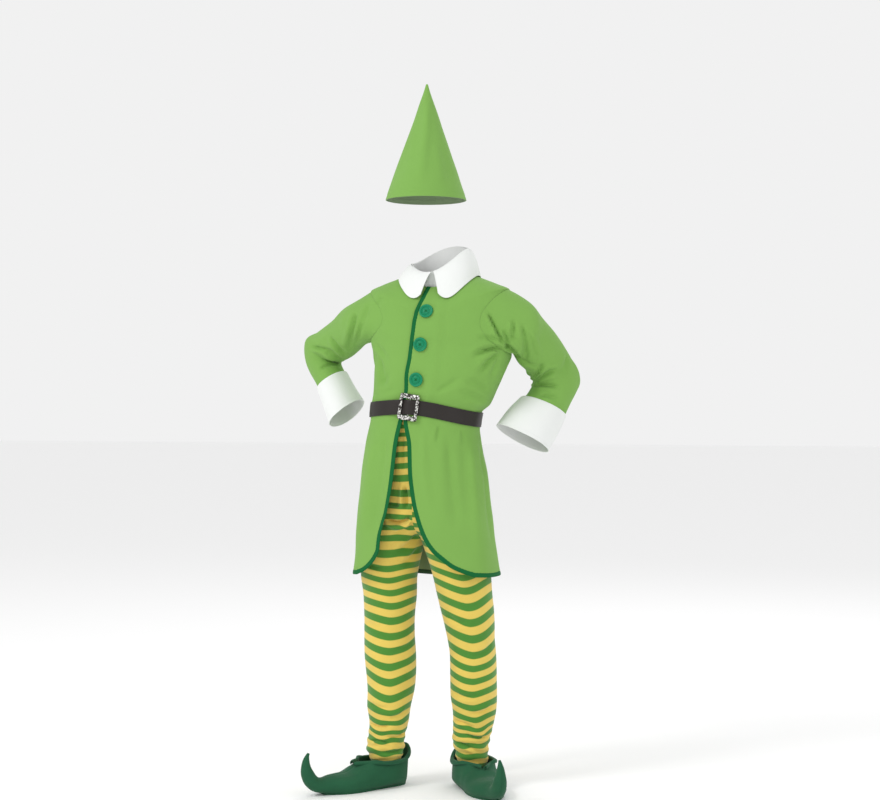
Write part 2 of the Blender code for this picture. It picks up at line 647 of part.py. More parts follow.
# The trouser legs below the hips: the middle of each section and its half sizes.
LEG_COLUMNS = "height x y half_x half_y"
LEG_RIGHT = table(LEG_COLUMNS, [
    (0.042, -0.1120, -0.0200, 0.0300, 0.0320),
    (0.058, -0.1125, -0.0215, 0.0330, 0.0350),
    (0.074, -0.1133, -0.0220, 0.0392, 0.0400),
    (0.103, -0.1116, -0.0200, 0.0388, 0.0410),
    (0.131, -0.1069, -0.0180, 0.0410, 0.0430),
    (0.165, -0.1068, -0.0160, 0.0456, 0.0480),
    (0.199, -0.1032, -0.0140, 0.0492, 0.0520),
    (0.230, -0.1033, -0.0120, 0.0517, 0.0545),
    (0.273, -0.1060, -0.0090, 0.0540, 0.0560),
    (0.313, -0.1085, -0.0070, 0.0532, 0.0560),
    (0.359, -0.1096, -0.0040, 0.0532, 0.0565),
    (0.397, -0.1092, -0.0020, 0.0560, 0.0600),
    (0.436, -0.1120, 0.0000, 0.0593, 0.0640),
    (0.475, -0.1090, 0.0010, 0.0640, 0.0690),
])
LEG_LEFT = table(LEG_COLUMNS, [
    (0.042, 0.0640, 0.0230, 0.0300, 0.0320),
    (0.058, 0.0640, 0.0230, 0.0330, 0.0350),
    (0.074, 0.0629, 0.0230, 0.0345, 0.0385),
    (0.090, 0.0618, 0.0220, 0.0380, 0.0400),
    (0.125, 0.0662, 0.0200, 0.0418, 0.0430),
    (0.158, 0.0695, 0.0180, 0.0455, 0.0480),
    (0.188, 0.0688, 0.0160, 0.0486, 0.0515),
    (0.217, 0.0692, 0.0140, 0.0489, 0.0525),
    (0.251, 0.0696, 0.0120, 0.0491, 0.0535),
    (0.284, 0.0688, 0.0100, 0.0484, 0.0540),
    (0.311, 0.0660, 0.0080, 0.0492, 0.0545),
    (0.337, 0.0631, 0.0070, 0.0521, 0.0560),
    (0.370, 0.0585, 0.0050, 0.0554, 0.0590),
    (0.410, 0.0522, 0.0020, 0.0580, 0.0620),
    (0.441, 0.0480, 0.0000, 0.0605, 0.0650),
    (0.475, 0.0420, 0.0010, 0.0650, 0.0690),
])
# Above the crotch each leg is half of the hips: how far out its ring lies from the centre seam.
HIPS = table("height out half_x front back", [
    (0.514, 0.0660, 0.0664, 0.0715, 0.0770),
    (0.527, 0.0620, 0.0694, 0.0745, 0.0820),
    (0.541, 0.0490, 0.0800, 0.0785, 0.0860),
    (0.558, 0.0260, 0.0980, 0.0820, 0.0895),
    (0.582, 0.0080, 0.1130, 0.0840, 0.0920),
    (0.615, 0.0010, 0.1180, 0.0850, 0.0930),
    (0.660, 0.0000, 0.1170, 0.0840, 0.0910),
    (0.705, 0.0000, 0.1130, 0.0820, 0.0870),
    (0.738, 0.0000, 0.1100, 0.0810, 0.0840),
])
LEG_STEPS = 14
WAIST_CLEAR = CLOTH + 4 * SEAM


def add_leg(name, rows, side, root):
    """Half of the trousers: half of the hips, and a leg that closes at its inseam."""
    gap = SEAM / 2
    share = np.linspace(0, 1, LEG_STEPS + 1)
    grid = []
    for height, x, y, half_x, half_y in zip(*rows.values()):
        small = gap / half_x
        start = -math.pi + small
        angle = start + (2 * math.pi - 2 * small) * share
        out = side * half_x * np.cos(angle)
        grid.append(np.stack([x + out, y + half_y * np.sin(angle), np.full(angle.shape, height)], -1))
    for height, out, half_x, front, back in zip(*HIPS.values()):
        small = min(1.0, (out - gap) / half_x)
        start = -math.acos(-small)
        angle = start + -2 * start * share
        depth = np.where(np.sin(angle) < 0, front, back)
        across = CENTRE_SEAM + side * (out + half_x * np.cos(angle))
        grid.append(np.stack([across, depth * np.sin(angle), np.full(angle.shape, height)], -1))
    top_level = WAIST_LOW - 3 * SEAM
    top_angles = side_angles(side, share, top_level)
    top = lifted(body, top_angles, np.full(share.shape, top_level), np.full(share.shape, -WAIST_CLEAR))
    grid.append(top)
    grid = np.array(grid)
    over_rows = np.gradient(grid, axis=0)
    over_columns = np.gradient(grid, axis=1)
    normals = unit(np.cross(over_columns, over_rows)) * side
    # Both walls at the inseam and at the centre seam stay on their own side of it.
    tube = len(rows["height"])
    normals[:tube, 0] = normals[:tube, -1] = unit(normals[:tube, 0] + normals[:tube, -1])
    return add_wall(name, grid, grid - normals * CLOTH, "stripe_yellow", root)


def side_angles(side, share, level):
    """Angles round the coat's waist from the trousers' front seam over one side to their back seam."""
    middle = float(smooth(level, BODY["level"], BODY["middle"]))
    half = float(smooth(level, BODY["level"], BODY["half_width"]))
    front = -math.acos((CENTRE_SEAM + side * SEAM / 2 - middle) / half)
    back = -front if side > 0 else -front - 2 * math.pi
    return front + (back - front) * share


def add_waistband(root):
    count = 36
    turns = np.linspace(0, 2 * math.pi, count, endpoint=False)
    angles, rows = np.meshgrid(turns, np.array([WAIST_LOW, WAIST_HIGH]))
    outer = lifted(body, angles, rows, np.full(angles.shape, -WAIST_CLEAR))
    inner = lifted(body, angles, rows, np.full(angles.shape, -WAIST_CLEAR - CLOTH))
    add_wall("trouser_waistband", outer, inner, "stripe_yellow", root, loop=True)


# The hat: a felt cone on a level rim.
HAT_RIM, HAT_TIP = 1.2300, 1.4740
HAT_MIDDLE = (-0.0305, 0.0)
HAT_TIP_SHIFT = 0.002
HAT = table("share half_width half_deep", [
    (0.00, 0.0845, 0.0910),
    (0.03, 0.0825, 0.0890),
    (0.15, 0.0727, 0.0785),
    (0.35, 0.0560, 0.0605),
    (0.60, 0.0350, 0.0378),
    (0.82, 0.0165, 0.0178),
    (0.94, 0.0062, 0.0066),
    (1.00, 0.0020, 0.0021),
])


def add_hat(root):
    """The cone, open below. Near the tip its wall grows thinner, so that the hollow stays open inside."""
    turns = np.linspace(0, 2 * math.pi, 24, endpoint=False)
    outer, inner = [], []
    for share, wide, deep in zip(*HAT.values()):
        height = HAT_RIM + (HAT_TIP - HAT_RIM) * share
        middle = np.array([HAT_MIDDLE[0] + HAT_TIP_SHIFT * share, HAT_MIDDLE[1], height])
        crease = 1 + 0.02 * np.exp(-(((turns - 1.5 * math.pi) / 0.30) ** 2))
        ring = np.stack([np.cos(turns) * wide, np.sin(turns) * deep, 0 * turns], -1) * crease[:, None]
        wall = min(FELT, 0.45 * wide)
        outer.append(middle + ring)
        inner.append(middle + ring * (1 - wall / wide) + np.array([0, 0, -wall * 0.35 if share > 0 else 0]))
    outer, inner = np.array(outer), np.array(inner)
    form = bmesh.new()
    skins = [[[form.verts.new(point) for point in ring] for ring in grid] for grid in (outer, inner)]
    count = len(turns)
    for skin in skins:
        for i in range(len(skin) - 1):
            for j in range(count):
                k = (j + 1) % count
                form.faces.new((skin[i][j], skin[i][k], skin[i + 1][k], skin[i + 1][j]))
        form.faces.new(skin[-1])
    for j in range(count):
        k = (j + 1) % count
        form.faces.new((skins[0][0][j], skins[0][0][k], skins[1][0][k], skins[1][0][j]))
    bmesh.ops.triangulate(form, faces=form.faces)
    add_mesh("hat", form, "coat_green", root)


# The shoes, in their own frame: +X from heel to toe, +Z up. Each section has a middle at along and height,
# a half width, the sole's half width there, its reach above and below the middle, the pitch of the toe's curl
# and how far up it is closed, in degrees, where 90 is the top seam.
SHOE = table("along height half_width sole above below pitch closed", [
    (0.0000, 0.0200, 0.0008, 0.0007, 0.100, 0.0165, 0, 37.0),
    (0.0010, 0.0200, 0.0060, 0.0050, 0.100, 0.0165, 0, 35.5),
    (0.0050, 0.0200, 0.0180, 0.0150, 0.100, 0.0165, 0, 32.0),
    (0.0140, 0.0200, 0.0290, 0.0240, 0.100, 0.0165, 0, 27.0),
    (0.0300, 0.0200, 0.0370, 0.0295, 0.100, 0.0165, 0, 22.0),
    (0.0550, 0.0200, 0.0440, 0.0310, 0.090, 0.0165, 0, 23.0),
    (0.0850, 0.0200, 0.0450, 0.0325, 0.070, 0.0165, 0, 31.0),
    (0.1080, 0.0190, 0.0420, 0.0345, 0.052, 0.0155, 0, 50.0),
    (0.1210, 0.0185, 0.0415, 0.0360, 0.0400, 0.0150, 0, 72.0),
    (0.1330, 0.0180, 0.0410, 0.0370, 0.0330, 0.0145, 0, 90.0),
    (0.1550, 0.0175, 0.0405, 0.0365, 0.0225, 0.0140, 0, 90.0),
    (0.1780, 0.0175, 0.0370, 0.0320, 0.0205, 0.0140, 0, 90.0),
    (0.2000, 0.0185, 0.0290, 0.0210, 0.0190, 0.0148, 4, 90.0),
    (0.2170, 0.0195, 0.0215, 0.0090, 0.0165, 0.0156, 12, 90.0),
    (0.2330, 0.0230, 0.0175, 0.0002, 0.0155, 0.0160, 32, 90.0),
    (0.2470, 0.0330, 0.0155, 0.0002, 0.0150, 0.0152, 58, 90.0),
    (0.2555, 0.0480, 0.0135, 0.0002, 0.0135, 0.0135, 78, 90.0),
    (0.2590, 0.0620, 0.0100, 0.0002, 0.0100, 0.0100, 90, 90.0),
    (0.2585, 0.0750, 0.0068, 0.0002, 0.0068, 0.0068, 104, 90.0),
    (0.2550, 0.0850, 0.0036, 0.0002, 0.0036, 0.0036, 116, 90.0),
    (0.2525, 0.0885, 0.0026, 0.0002, 0.0026, 0.0026, 120, 90.0),
])
SOLE_THICK = 0.0032
SHOE_COLUMNS = 7
# The turned-out edge, from where the side ends: the outer face becomes its underside, the inner face its top.
LIP_OUT = {"outer": np.array([0.0012, 0.0055]), "inner": np.array([0.0002, 0.0062])}
LIP_RISE = {"outer": np.array([0.0010, -0.0008]), "inner": np.array([0.0032, 0.0014])}
LIP_ARC = (34, 18, 0)
SHOES = {
    "right": ((-0.0825, 0.0265), -90 - 35),
    "left": ((0.0360, 0.0700), -90 + 31),
}


def add_shoe(side_name, root):
    """A shoe: two halves joined over the toe and at the heel, with a turned-out top edge, and a sole."""
    (x, y), turn = SHOES[side_name]
    frame = bpy.data.objects.new("shoe_" + side_name + "_place", None)
    frame.parent = root
    frame.location = (x, y, 0)
    frame.rotation_euler = (0, 0, math.radians(turn))
    bpy.context.scene.collection.objects.link(frame)
    for half, side in (("left_half", 1), ("right_half", -1)):
        outer, inner = [], []
        for row in zip(*SHOE.values()):
            skins = shoe_ring(dict(zip(SHOE, row)), side)
            outer.append(skins[0])
            inner.append(skins[1])
        name = f"shoe_{side_name}_{half}"
        add_wall(name, np.array(outer), np.array(inner), "shoe_green", frame)
    add_sole(side_name, frame)


def shoe_ring(row, side):
    """One section of a half shoe, as its outer and its inner points."""
    wide, sole, above = row["half_width"], row["sole"], row["above"]
    wall = min(FELT, 0.42 * wide, 0.42 * above)
    pitch = math.radians(row["pitch"])
    start = -math.acos(min(1.0, sole / wide))
    drop = row["below"] / -math.sin(start)
    # On an open section the top edge turns outwards. On a closed one its columns run on up to the seam.
    opened = ease((80 - row["closed"]) / 40)
    arcs = np.radians(row["closed"] - (1 - opened) * np.array(LIP_ARC))
    turns = np.linspace(start, arcs[0], SHOE_COLUMNS)
    skins = []
    for skin, moved in (("outer", 0.0), ("inner", wall)):
        reach = np.where(turns < 0, drop, above - moved)
        across = (wide - moved) * np.cos(turns)
        up = reach * np.sin(turns)
        if sole < 0.001:
            up = np.where(turns < 0, up * (1 - moved / drop), up)
        shut = moved * (1 - opened)
        across = np.append(across, (wide - shut) * np.cos(arcs[1:]) + opened * LIP_OUT[skin])
        up = np.append(up, (above - shut) * np.sin(arcs[1:]) + opened * LIP_RISE[skin])
        across = np.maximum(across, SEAM / 2)
        # Behind the heel the inner face lies further forward, so that the wall keeps its thickness.
        forward = moved * max(0.0, 1 - row["along"] / 0.030)
        along = row["along"] + forward - up * math.sin(pitch)
        height = row["height"] + up * math.cos(pitch)
        skins.append(np.stack([along, side * across, height], -1))
    return skins


def add_sole(side_name, frame):
    """The flat sole under both halves, up to where the toe lifts."""
    rows = [dict(zip(SHOE, row)) for row in zip(*SHOE.values())]
    rows = [row for row in rows if row["sole"] > 0.004]
    outline = [(row["along"], row["sole"]) for row in rows]
    outline = outline + [(along, -half) for along, half in reversed(outline)]
    form = bmesh.new()
    low = [form.verts.new((along, half, 0)) for along, half in outline]
    form.faces.new(low)
    raised = bmesh.ops.extrude_face_region(form, geom=form.faces[:])
    moved = [part for part in raised["geom"] if isinstance(part, bmesh.types.BMVert)]
    bmesh.ops.translate(form, vec=(0, 0, SOLE_THICK), verts=moved)
    bmesh.ops.triangulate(form, faces=form.faces)
    add_mesh(f"shoe_{side_name}_sole", form, "shoe_green", frame)


def main():
    for thing in list(bpy.data.objects):
        bpy.data.objects.remove(thing)
    root = bpy.data.objects.new("costume", None)
    root.location = (0, 0, -NECK_HEIGHT)
    bpy.context.scene.collection.objects.link(root)
    add_back(root)
    add_front("coat_front_left", left_front, LEFT_EDGE, 1, 12, root)
    add_front("coat_front_right", body, RIGHT_EDGE, -1, 10, root)
    add_sleeve("sleeve_left", SLEEVE_LEFT, 1, root)
    add_sleeve("sleeve_right", SLEEVE_RIGHT, -1, root)
    add_cuff("cuff_left", CUFF_LEFT, root)
    add_cuff("cuff_right", CUFF_RIGHT, root)
    add_collar(root)
    add_belt(root)
    add_buckle(root)
    for name, (level, degrees) in BUTTON_LEVELS.items():
        add_button(name, level, degrees, root)
    add_leg("trouser_leg_left", LEG_LEFT, 1, root)
    add_leg("trouser_leg_right", LEG_RIGHT, -1, root)
    add_waistband(root)
    add_hat(root)
    for side_name in SHOES:
        add_shoe(side_name, root)


main()
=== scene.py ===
"""The looks of a child's elf costume, worn, with no wearer. Each cloth piece is a thin shell on the same sections as
its solid, with many more points, its creases and its weave. Metres, +Z up. The wearer faces -Y and +X is their
left. Heights in the tables are above the soles, and every mesh is lowered by NECK_HEIGHT as it is made."""

import math

import bmesh
import bpy
import numpy as np
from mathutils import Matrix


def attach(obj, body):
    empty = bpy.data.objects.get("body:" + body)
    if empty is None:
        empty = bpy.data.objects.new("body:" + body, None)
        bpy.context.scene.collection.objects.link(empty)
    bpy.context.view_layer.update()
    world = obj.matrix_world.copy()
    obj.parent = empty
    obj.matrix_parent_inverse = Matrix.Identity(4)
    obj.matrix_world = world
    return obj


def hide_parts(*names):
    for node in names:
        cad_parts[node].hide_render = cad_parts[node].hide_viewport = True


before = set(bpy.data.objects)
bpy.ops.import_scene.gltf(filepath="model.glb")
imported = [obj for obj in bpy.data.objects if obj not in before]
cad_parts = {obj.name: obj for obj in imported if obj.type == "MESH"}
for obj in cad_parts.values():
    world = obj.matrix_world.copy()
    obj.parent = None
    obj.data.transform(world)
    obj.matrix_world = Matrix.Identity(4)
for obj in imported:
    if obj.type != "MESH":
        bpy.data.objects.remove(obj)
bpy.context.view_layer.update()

NECK_HEIGHT = 1.060
CLOTH = 0.0016
FELT = 0.0020
BINDING_THICK = 0.0026
BINDING_WIDE = 0.0104
UNDER_BINDING = 0.0048
SQUARENESS = 2.3
PROBE = 1e-4
FRONT = -math.pi / 2

# The photo's camera: level, 4 m away and turned towards the wearer's left. Its picture is 880 by 800.
VIEW_DEGREES = 16
VIEW = math.radians(VIEW_DEGREES)
CAMERA_FAR, CAMERA_HEIGHT = 4.0, 0.81
FOCAL = 1905.0
PICTURE = (880, 800)

ARM_BOTTOM, ARM_TOP = 0.920, 1.040
ARM_OPENING = math.radians(34)
NECK_LEVEL = 1.076
PANEL_TOP = 1.0755
HEM_LEVEL = 0.444
BELT_LOW, BELT_HIGH = 0.7635, 0.7945
BELT_THICK = 0.0022
BELT_CLEAR = 0.0011
BELT_OVER_BAR = 0.0030
WAIST_LOW, WAIST_HIGH = 0.7660, 0.7925
WAIST_CLEAR = 0.0028
CENTRE_SEAM = -0.036
LAP_LIFT = 0.0034
LAP_WIDE = math.radians(46)


def table(names, rows):
    """The columns of some rows, by name."""
    return dict(zip(names.split(), np.array(rows, float).T))


def smooth(x, xs, ys):
    """The value at x of a curve through the rows that doesn't overshoot them."""
    gaps = np.diff(xs)
    slopes = np.diff(ys) / gaps
    bends = np.zeros(len(xs))
    same = slopes[1:] * slopes[:-1] > 0
    bends[1:-1][same] = 2 * slopes[1:][same] * slopes[:-1][same] / (slopes[1:] + slopes[:-1])[same]
    bends[0], bends[-1] = slopes[0], slopes[-1]
    i = np.clip(np.searchsorted(xs, x) - 1, 0, len(xs) - 2)
    t = (np.asarray(x, float) - xs[i]) / gaps[i]
    start = ys[i] * (1 + 2 * t) * (1 - t) ** 2 + bends[i] * gaps[i] * t * (1 - t) ** 2
    return start + ys[i + 1] * t * t * (3 - 2 * t) + bends[i + 1] * gaps[i] * t * t * (t - 1)


def ease(t):
    """0 to 1 with soft ends."""
    t = np.clip(t, 0, 1)
    return t * t * (3 - 2 * t)


def unit(vector):
    return vector / np.maximum(np.linalg.norm(vector, axis=-1, keepdims=True), 1e-12)


# The coat's rings, as in the solids.
BODY = table("level middle half_width front back front_rise back_rise tilt", [
    (0.440, -0.029, 0.157, 0.118, 0.124, 0.0110, -0.0120, 0.000),
    (0.480, -0.030, 0.151, 0.115, 0.120, 0.0110, -0.0110, 0.000),
    (0.540, -0.032, 0.145, 0.110, 0.115, 0.0120, -0.0120, -0.010),
    (0.600, -0.032, 0.139, 0.106, 0.110, 0.0140, -0.0140, -0.030),
    (0.660, -0.033, 0.133, 0.100, 0.104, 0.0150, -0.0150, -0.050),
    (0.710, -0.034, 0.124, 0.094, 0.097, 0.0160, -0.0160, -0.070),
    (0.764, -0.032, 0.115, 0.088, 0.089, 0.0155, -0.0155, -0.085),
    (0.794, -0.029, 0.116, 0.088, 0.089, 0.0155, -0.0155, -0.085),
    (0.812, -0.018, 0.1235, 0.092, 0.093, 0.0150, -0.0150, -0.085),
    (0.842, -0.010, 0.130, 0.094, 0.095, 0.0140, -0.0140, -0.088),
    (0.890, 0.000, 0.140, 0.095, 0.097, 0.0120, -0.0080, -0.090),
    (0.920, 0.001, 0.149, 0.094, 0.096, 0.0100, -0.0050, -0.090),
    (0.960, 0.000, 0.152, 0.092, 0.095, -0.0120, -0.0170, -0.060),
    (1.000, 0.000, 0.152, 0.089, 0.092, -0.0330, -0.0280, -0.030),
    (1.040, 0.000, 0.148, 0.084, 0.087, -0.0550, -0.0400, 0.000),
    (1.052, 0.000, 0.122, 0.077, 0.080, -0.0480, -0.0300, 0.000),
    (1.063, 0.000, 0.094, 0.067, 0.070, -0.0410, -0.0180, 0.000),
    (1.076, 0.000, 0.062, 0.053, 0.056, -0.0330, -0.0040, 0.000),
])
FLUTES = table("angle wide deep", [
    (-24, 11, 0.0050),
    (-52, 12, -0.0035),
    (-150, 11, 0.0045),
    (25, 13, -0.0040),
    (60, 12, 0.0060),
    (95, 13, -0.0045),
    (128, 12, 0.0055),
    (160, 12, -0.0040),
])
FLUTE_TOP, FLUTE_LONG = 0.700, 0.260
LEFT_EDGE = table("level angle", [
    (0.4440, -33.0), (0.4510, -42.0), (0.4600, -51.0), (0.4720, -58.5), (0.4900, -68.5), (0.5150, -76.5),
    (0.5500, -83.5), (0.5870, -89.0), (0.6400, -93.5), (0.7010, -95.5), (0.7460, -102.0), (0.7940, -107.5),
    (0.8630, -114.0), (0.9600, -111.0), (1.0380, -110.0), (1.0560, -107.0), (1.0760, -103.0),
])
RIGHT_EDGE = table("level angle", [
    (0.4440, -148.0), (0.4500, -140.0), (0.4600, -133.5), (0.4750, -127.5), (0.4950, -123.5), (0.5190, -123.0),
    (0.5450, -120.5), (0.5660, -117.0), (0.6270, -112.3), (0.6970, -109.0), (0.7480, -105.0), (0.7800, -102.0),
    (0.8300, -96.0), (0.8800, -89.0), (0.9400, -84.0), (1.0400, -80.0), (1.0760, -78.0),
])


def body(angle, level):
    """Points of the coat's outer face. The angle is 0 at the wearer's left side and -90 degrees in front."""
    row = {name: smooth(level, BODY["level"], column) for name, column in BODY.items()}
    across, along = np.cos(angle), np.sin(angle)
    depth = np.where(along < 0, row["front"], row["back"])
    reach = (np.abs(across) / row["half_width"]) ** SQUARENESS + (np.abs(along) / depth) ** SQUARENESS
    reach = reach ** (-1 / SQUARENESS)
    fade = ease((FLUTE_TOP - level) / FLUTE_LONG)
    for place, wide, deep in zip(FLUTES["angle"], FLUTES["wide"], FLUTES["deep"]):
        off = (np.degrees(angle) - place + 180) % 360 - 180
        reach = reach + deep * fade * np.exp(-((off / wide) ** 2))
    rise = np.where(along < 0, row["front_rise"], row["back_rise"])
    height = level + rise * along * along + row["tilt"] * reach * across
    return np.stack([row["middle"] + reach * across, reach * along, height], -1)


def outward(surface, a, b):
    """Unit normals of a surface of two numbers."""
    over_a = surface(a + PROBE, b) - surface(a - PROBE, b)
    over_b = surface(a, b + PROBE) - surface(a, b - PROBE)
    return unit(np.cross(over_a, over_b))


def lifted(surface, a, b, out):
    """Points of a surface moved out along its normals."""
    return surface(a, b) + outward(surface, a, b) * np.asarray(out)[..., None]


def lap(angle, level):
    """How far the upper front is lifted over the under front."""
    edge = np.radians(smooth(level, LEFT_EDGE["level"], LEFT_EDGE["angle"]))
    over = ease((edge + LAP_WIDE - angle) / math.radians(14))
    return LAP_LIFT * over * ease((level - 0.700) / 0.045)


def left_front(angle, level):
    """The upper front's outer face."""
    return lifted(body, angle, level, lap(angle, level))


# Creases are short curves drawn in a picture of the costume, each by its two ends and its middle, with a width in
# the picture and a depth in millimetres. A negative depth is a ridge. They shape only the side that faces that view.
CREASE_COLUMNS = "x0 y0 x1 y1 x2 y2 wide deep"
CREASE_GAIN = 2.6
COAT_CREASES = table(CREASE_COLUMNS, [
    (384, 297, 378, 304, 374, 314, 3.6, 0.6),
    (502, 347, 486, 350, 470, 358, 4.2, 2.8),
    (503, 353, 489, 361, 478, 376, 4.2, 2.6),
    (497, 342, 487, 338, 476, 338, 4.0, 1.3),
    (500, 357, 495, 368, 490, 381, 4.5, 1.6),
    (374, 343, 381, 351, 387, 363, 4.5, 1.5),
    (374, 350, 378, 364, 380, 378, 5.0, 1.2),
    (436, 392, 449, 385, 462, 377, 5.5, 1.3),
    (456, 403, 463, 401, 471, 397, 4.5, 1.4),
    (488, 404, 474, 396, 458, 393, 6.0, 1.6),
    (490, 392, 476, 384, 463, 384, 6.5, 1.4),
    (376, 398, 386, 393, 398, 390, 4.5, 1.3),
    (376, 386, 384, 380, 392, 370, 6.0, 1.1),
    (386, 428, 381, 478, 373, 545, 8.0, 1.5),
    (398, 470, 390, 510, 380, 548, 7.0, -1.0),
    (470, 436, 475, 495, 481, 560, 9.0, -1.8),
    (448, 432, 452, 485, 460, 545, 10.0, 1.6),
    (424, 428, 424, 470, 431, 512, 8.0, -0.9),
    (484, 430, 486, 448, 486, 470, 5.0, 1.2),
    (440, 425, 438, 434, 437, 446, 3.5, 0.9),
    (462, 429, 463, 437, 463, 446, 3.5, 0.9),
])
SLEEVE_CREASES = table(CREASE_COLUMNS, [
    (355, 312, 353, 328, 347, 357, 4.2, 2.6),
    (330, 336, 338, 347, 348, 357, 3.6, 2.4),
    (309, 346, 325, 350, 343, 357, 3.8, 2.6),
    (324, 352, 334, 356, 345, 361, 3.4, 2.2),
    (318, 371, 330, 364, 344, 361, 4.0, 1.8),
    (361, 322, 359, 334, 352, 350, 4.0, 1.6),
    (370, 302, 364, 318, 360, 330, 4.5, 1.4),
    (486, 309, 496, 329, 507, 351, 3.0, 3.2),
    (503, 328, 507, 341, 508, 355, 3.6, 2.8),
    (513, 318, 513, 332, 509, 347, 3.8, 2.2),
    (522, 322, 525, 343, 526, 366, 4.4, 2.2),
    (532, 383, 545, 375, 561, 368, 4.2, 2.8),
    (533, 385, 547, 385, 561, 387, 3.6, 2.2),
    (532, 380, 539, 371, 543, 361, 3.6, 2.0),
    (540, 395, 550, 396, 562, 401, 4.0, 1.6),
    (520, 358, 512, 350, 503, 343, 4.0, 3.4),
    (530, 330, 537, 344, 541, 360, 5.0, -1.4),
])
BACK_SHIFT = (5.0, 3.0)
BACK_SHARE = 0.85
SIDE_CREASES = table(CREASE_COLUMNS, [
    (440, 350, 432, 368, 428, 392, 6.0, 2.0),
    (452, 352, 458, 372, 464, 394, 6.0, 1.8),
    (425, 440, 421, 490, 416, 560, 9.0, 1.6),
    (462, 436, 466, 490, 472, 556, 10.0, 1.8),
])


def seen(points, degrees):
    """Where points appear in the picture of a level camera at this azimuth."""
    turn = math.radians(degrees)
    across = points[..., 0] * math.cos(turn) + points[..., 1] * math.sin(turn)
    depth = points[..., 1] * math.cos(turn) - points[..., 0] * math.sin(turn)
    scale = FOCAL / (CAMERA_FAR + depth)
    return PICTURE[0] / 2 + across * scale, PICTURE[1] / 2 - (points[..., 2] - CAMERA_HEIGHT) * scale


def crease_depths(points, normals, creases, degrees):
    """How far each point moves out for the creases drawn in one view."""
    turn = math.radians(degrees)
    towards = np.array([math.sin(turn), -math.cos(turn), 0.0])
    facing_share = ease((normals @ towards + 0.05) / 0.4)
    column, row = seen(points, degrees)
    spot = np.stack([column, row], -1)
    moved = np.zeros(column.shape)
    steps = np.linspace(0, 1, 11)[:, None]
    for x0, y0, x1, y1, x2, y2, wide, deep in zip(*creases.values()):
        near = (np.abs(column - x1) < 90) & (np.abs(row - y1) < 110) & (facing_share > 0)
        if not near.any():
            continue
        start, end = np.array([x0, y0]), np.array([x2, y2])
        pull = 2 * np.array([x1, y1]) - (start + end) / 2
        curve = start * (1 - steps) ** 2 + pull * 2 * steps * (1 - steps) + end * steps**2
        here = spot[near][:, None]
        run = np.diff(curve, axis=0)
        long = (run**2).sum(-1)
        along = np.clip(((here - curve[:-1]) * run).sum(-1) / long, 0, 1)
        off = here - (curve[:-1] + along[..., None] * run)
        far = np.linalg.norm(off, axis=-1)
        best = far.argmin(1)
        index = np.arange(len(best))
        side = np.sign(run[best, 0] * off[index, best, 1] - run[best, 1] * off[index, best, 0])
        across = far[index, best] * side
        share = (best + along[index, best]) / len(run)
        spread = 0.52 * wide * (0.7 + 0.6 * share)
        trough = np.exp(-((across / spread) ** 2))
        ridge = 0.5 * np.exp(-(((across - 2.0 * spread) / (1.3 * spread)) ** 2))
        ends = ease(share / 0.25) * ease((1 - share) / 0.35)
        moved[near] += 0.001 * CREASE_GAIN * deep * (ridge - trough) * ends
    return moved * facing_share


def on_the_back(creases):
    """The same creases as they lie in a view from behind, a little shifted and softer."""
    flipped = {}
    for name, values in creases.items():
        shift = BACK_SHIFT["y" in name]
        if name[0] == "x":
            values = PICTURE[0] - values + shift
        elif name[0] == "y":
            values = values + shift
        elif name == "deep":
            values = values * BACK_SHARE
        flipped[name] = values
    return flipped


RIPPLES = table("x y z phase share", [
    (31, 12, 23, 0.3, 0.30),
    (-22, 37, 15, 1.9, 0.25),
    (54, -21, 34, 3.1, 0.17),
    (-47, -41, 52, 4.4, 0.13),
    (83, 52, -61, 0.9, 0.09),
    (-74, 66, 88, 2.6, 0.06),
])


def ripple(points, deep):
    """A slow, uneven rise and fall of a cloth."""
    total = np.zeros(points.shape[:-1])
    for x, y, z, phase, share in zip(*RIPPLES.values()):
        total += share * np.sin(points @ np.array([x, y, z]) + phase)
    return total * deep


def all_creases(points, normals, creases):
    moved = crease_depths(points, normals, creases, VIEW_DEGREES)
    moved += crease_depths(points, normals, on_the_back(creases), VIEW_DEGREES + 180)
    for degrees in (106, -74):
        moved += crease_depths(points, normals, SIDE_CREASES, degrees)
    return moved


def coat_relief(points, normals, level):
    """The coat's creases and ripples, gone where the belt presses it flat."""
    pressed = ease((level - 0.742) / 0.016) * ease((0.822 - level) / 0.018)
    rising = ease((1.074 - level) / 0.02)
    loose = ease((0.70 - level) / 0.2)
    moved = all_creases(points, normals, COAT_CREASES) + ripple(points, 0.0012 + 0.0010 * loose)
    return moved * (1 - pressed) * rising


def relief_on(surface, angles, levels):
    """A coat surface's points with their creases, and its normals."""
    normals = outward(surface, angles, levels)
    points = surface(angles, levels)
    return points + normals * coat_relief(points, normals, levels)[..., None], normals


# Meshes
def corners_of(rows, columns, loop):
    """Each quad's corners as rows and columns, with columns counted on past a loop's end."""
    i, j = np.meshgrid(np.arange(rows - 1), np.arange(columns if loop else columns - 1), indexing="ij")
    i, j = i.ravel(), j.ravel()
    return np.stack([i, i, i + 1, i + 1], 1), np.stack([j, j + 1, j + 1, j], 1)


def lengths(grid, loop):
    """Metres along each row and column of a grid, for its weave."""
    closed = np.concatenate([grid, grid[:, :1]], 1) if loop else grid
    across = np.linalg.norm(np.diff(closed, axis=1), axis=-1)
    over = np.concatenate([[0], np.cumsum(across.mean(0))])
    down = np.linalg.norm(np.diff(grid, axis=0), axis=-1).mean(1)
    return over, np.concatenate([[0], np.cumsum(down)])


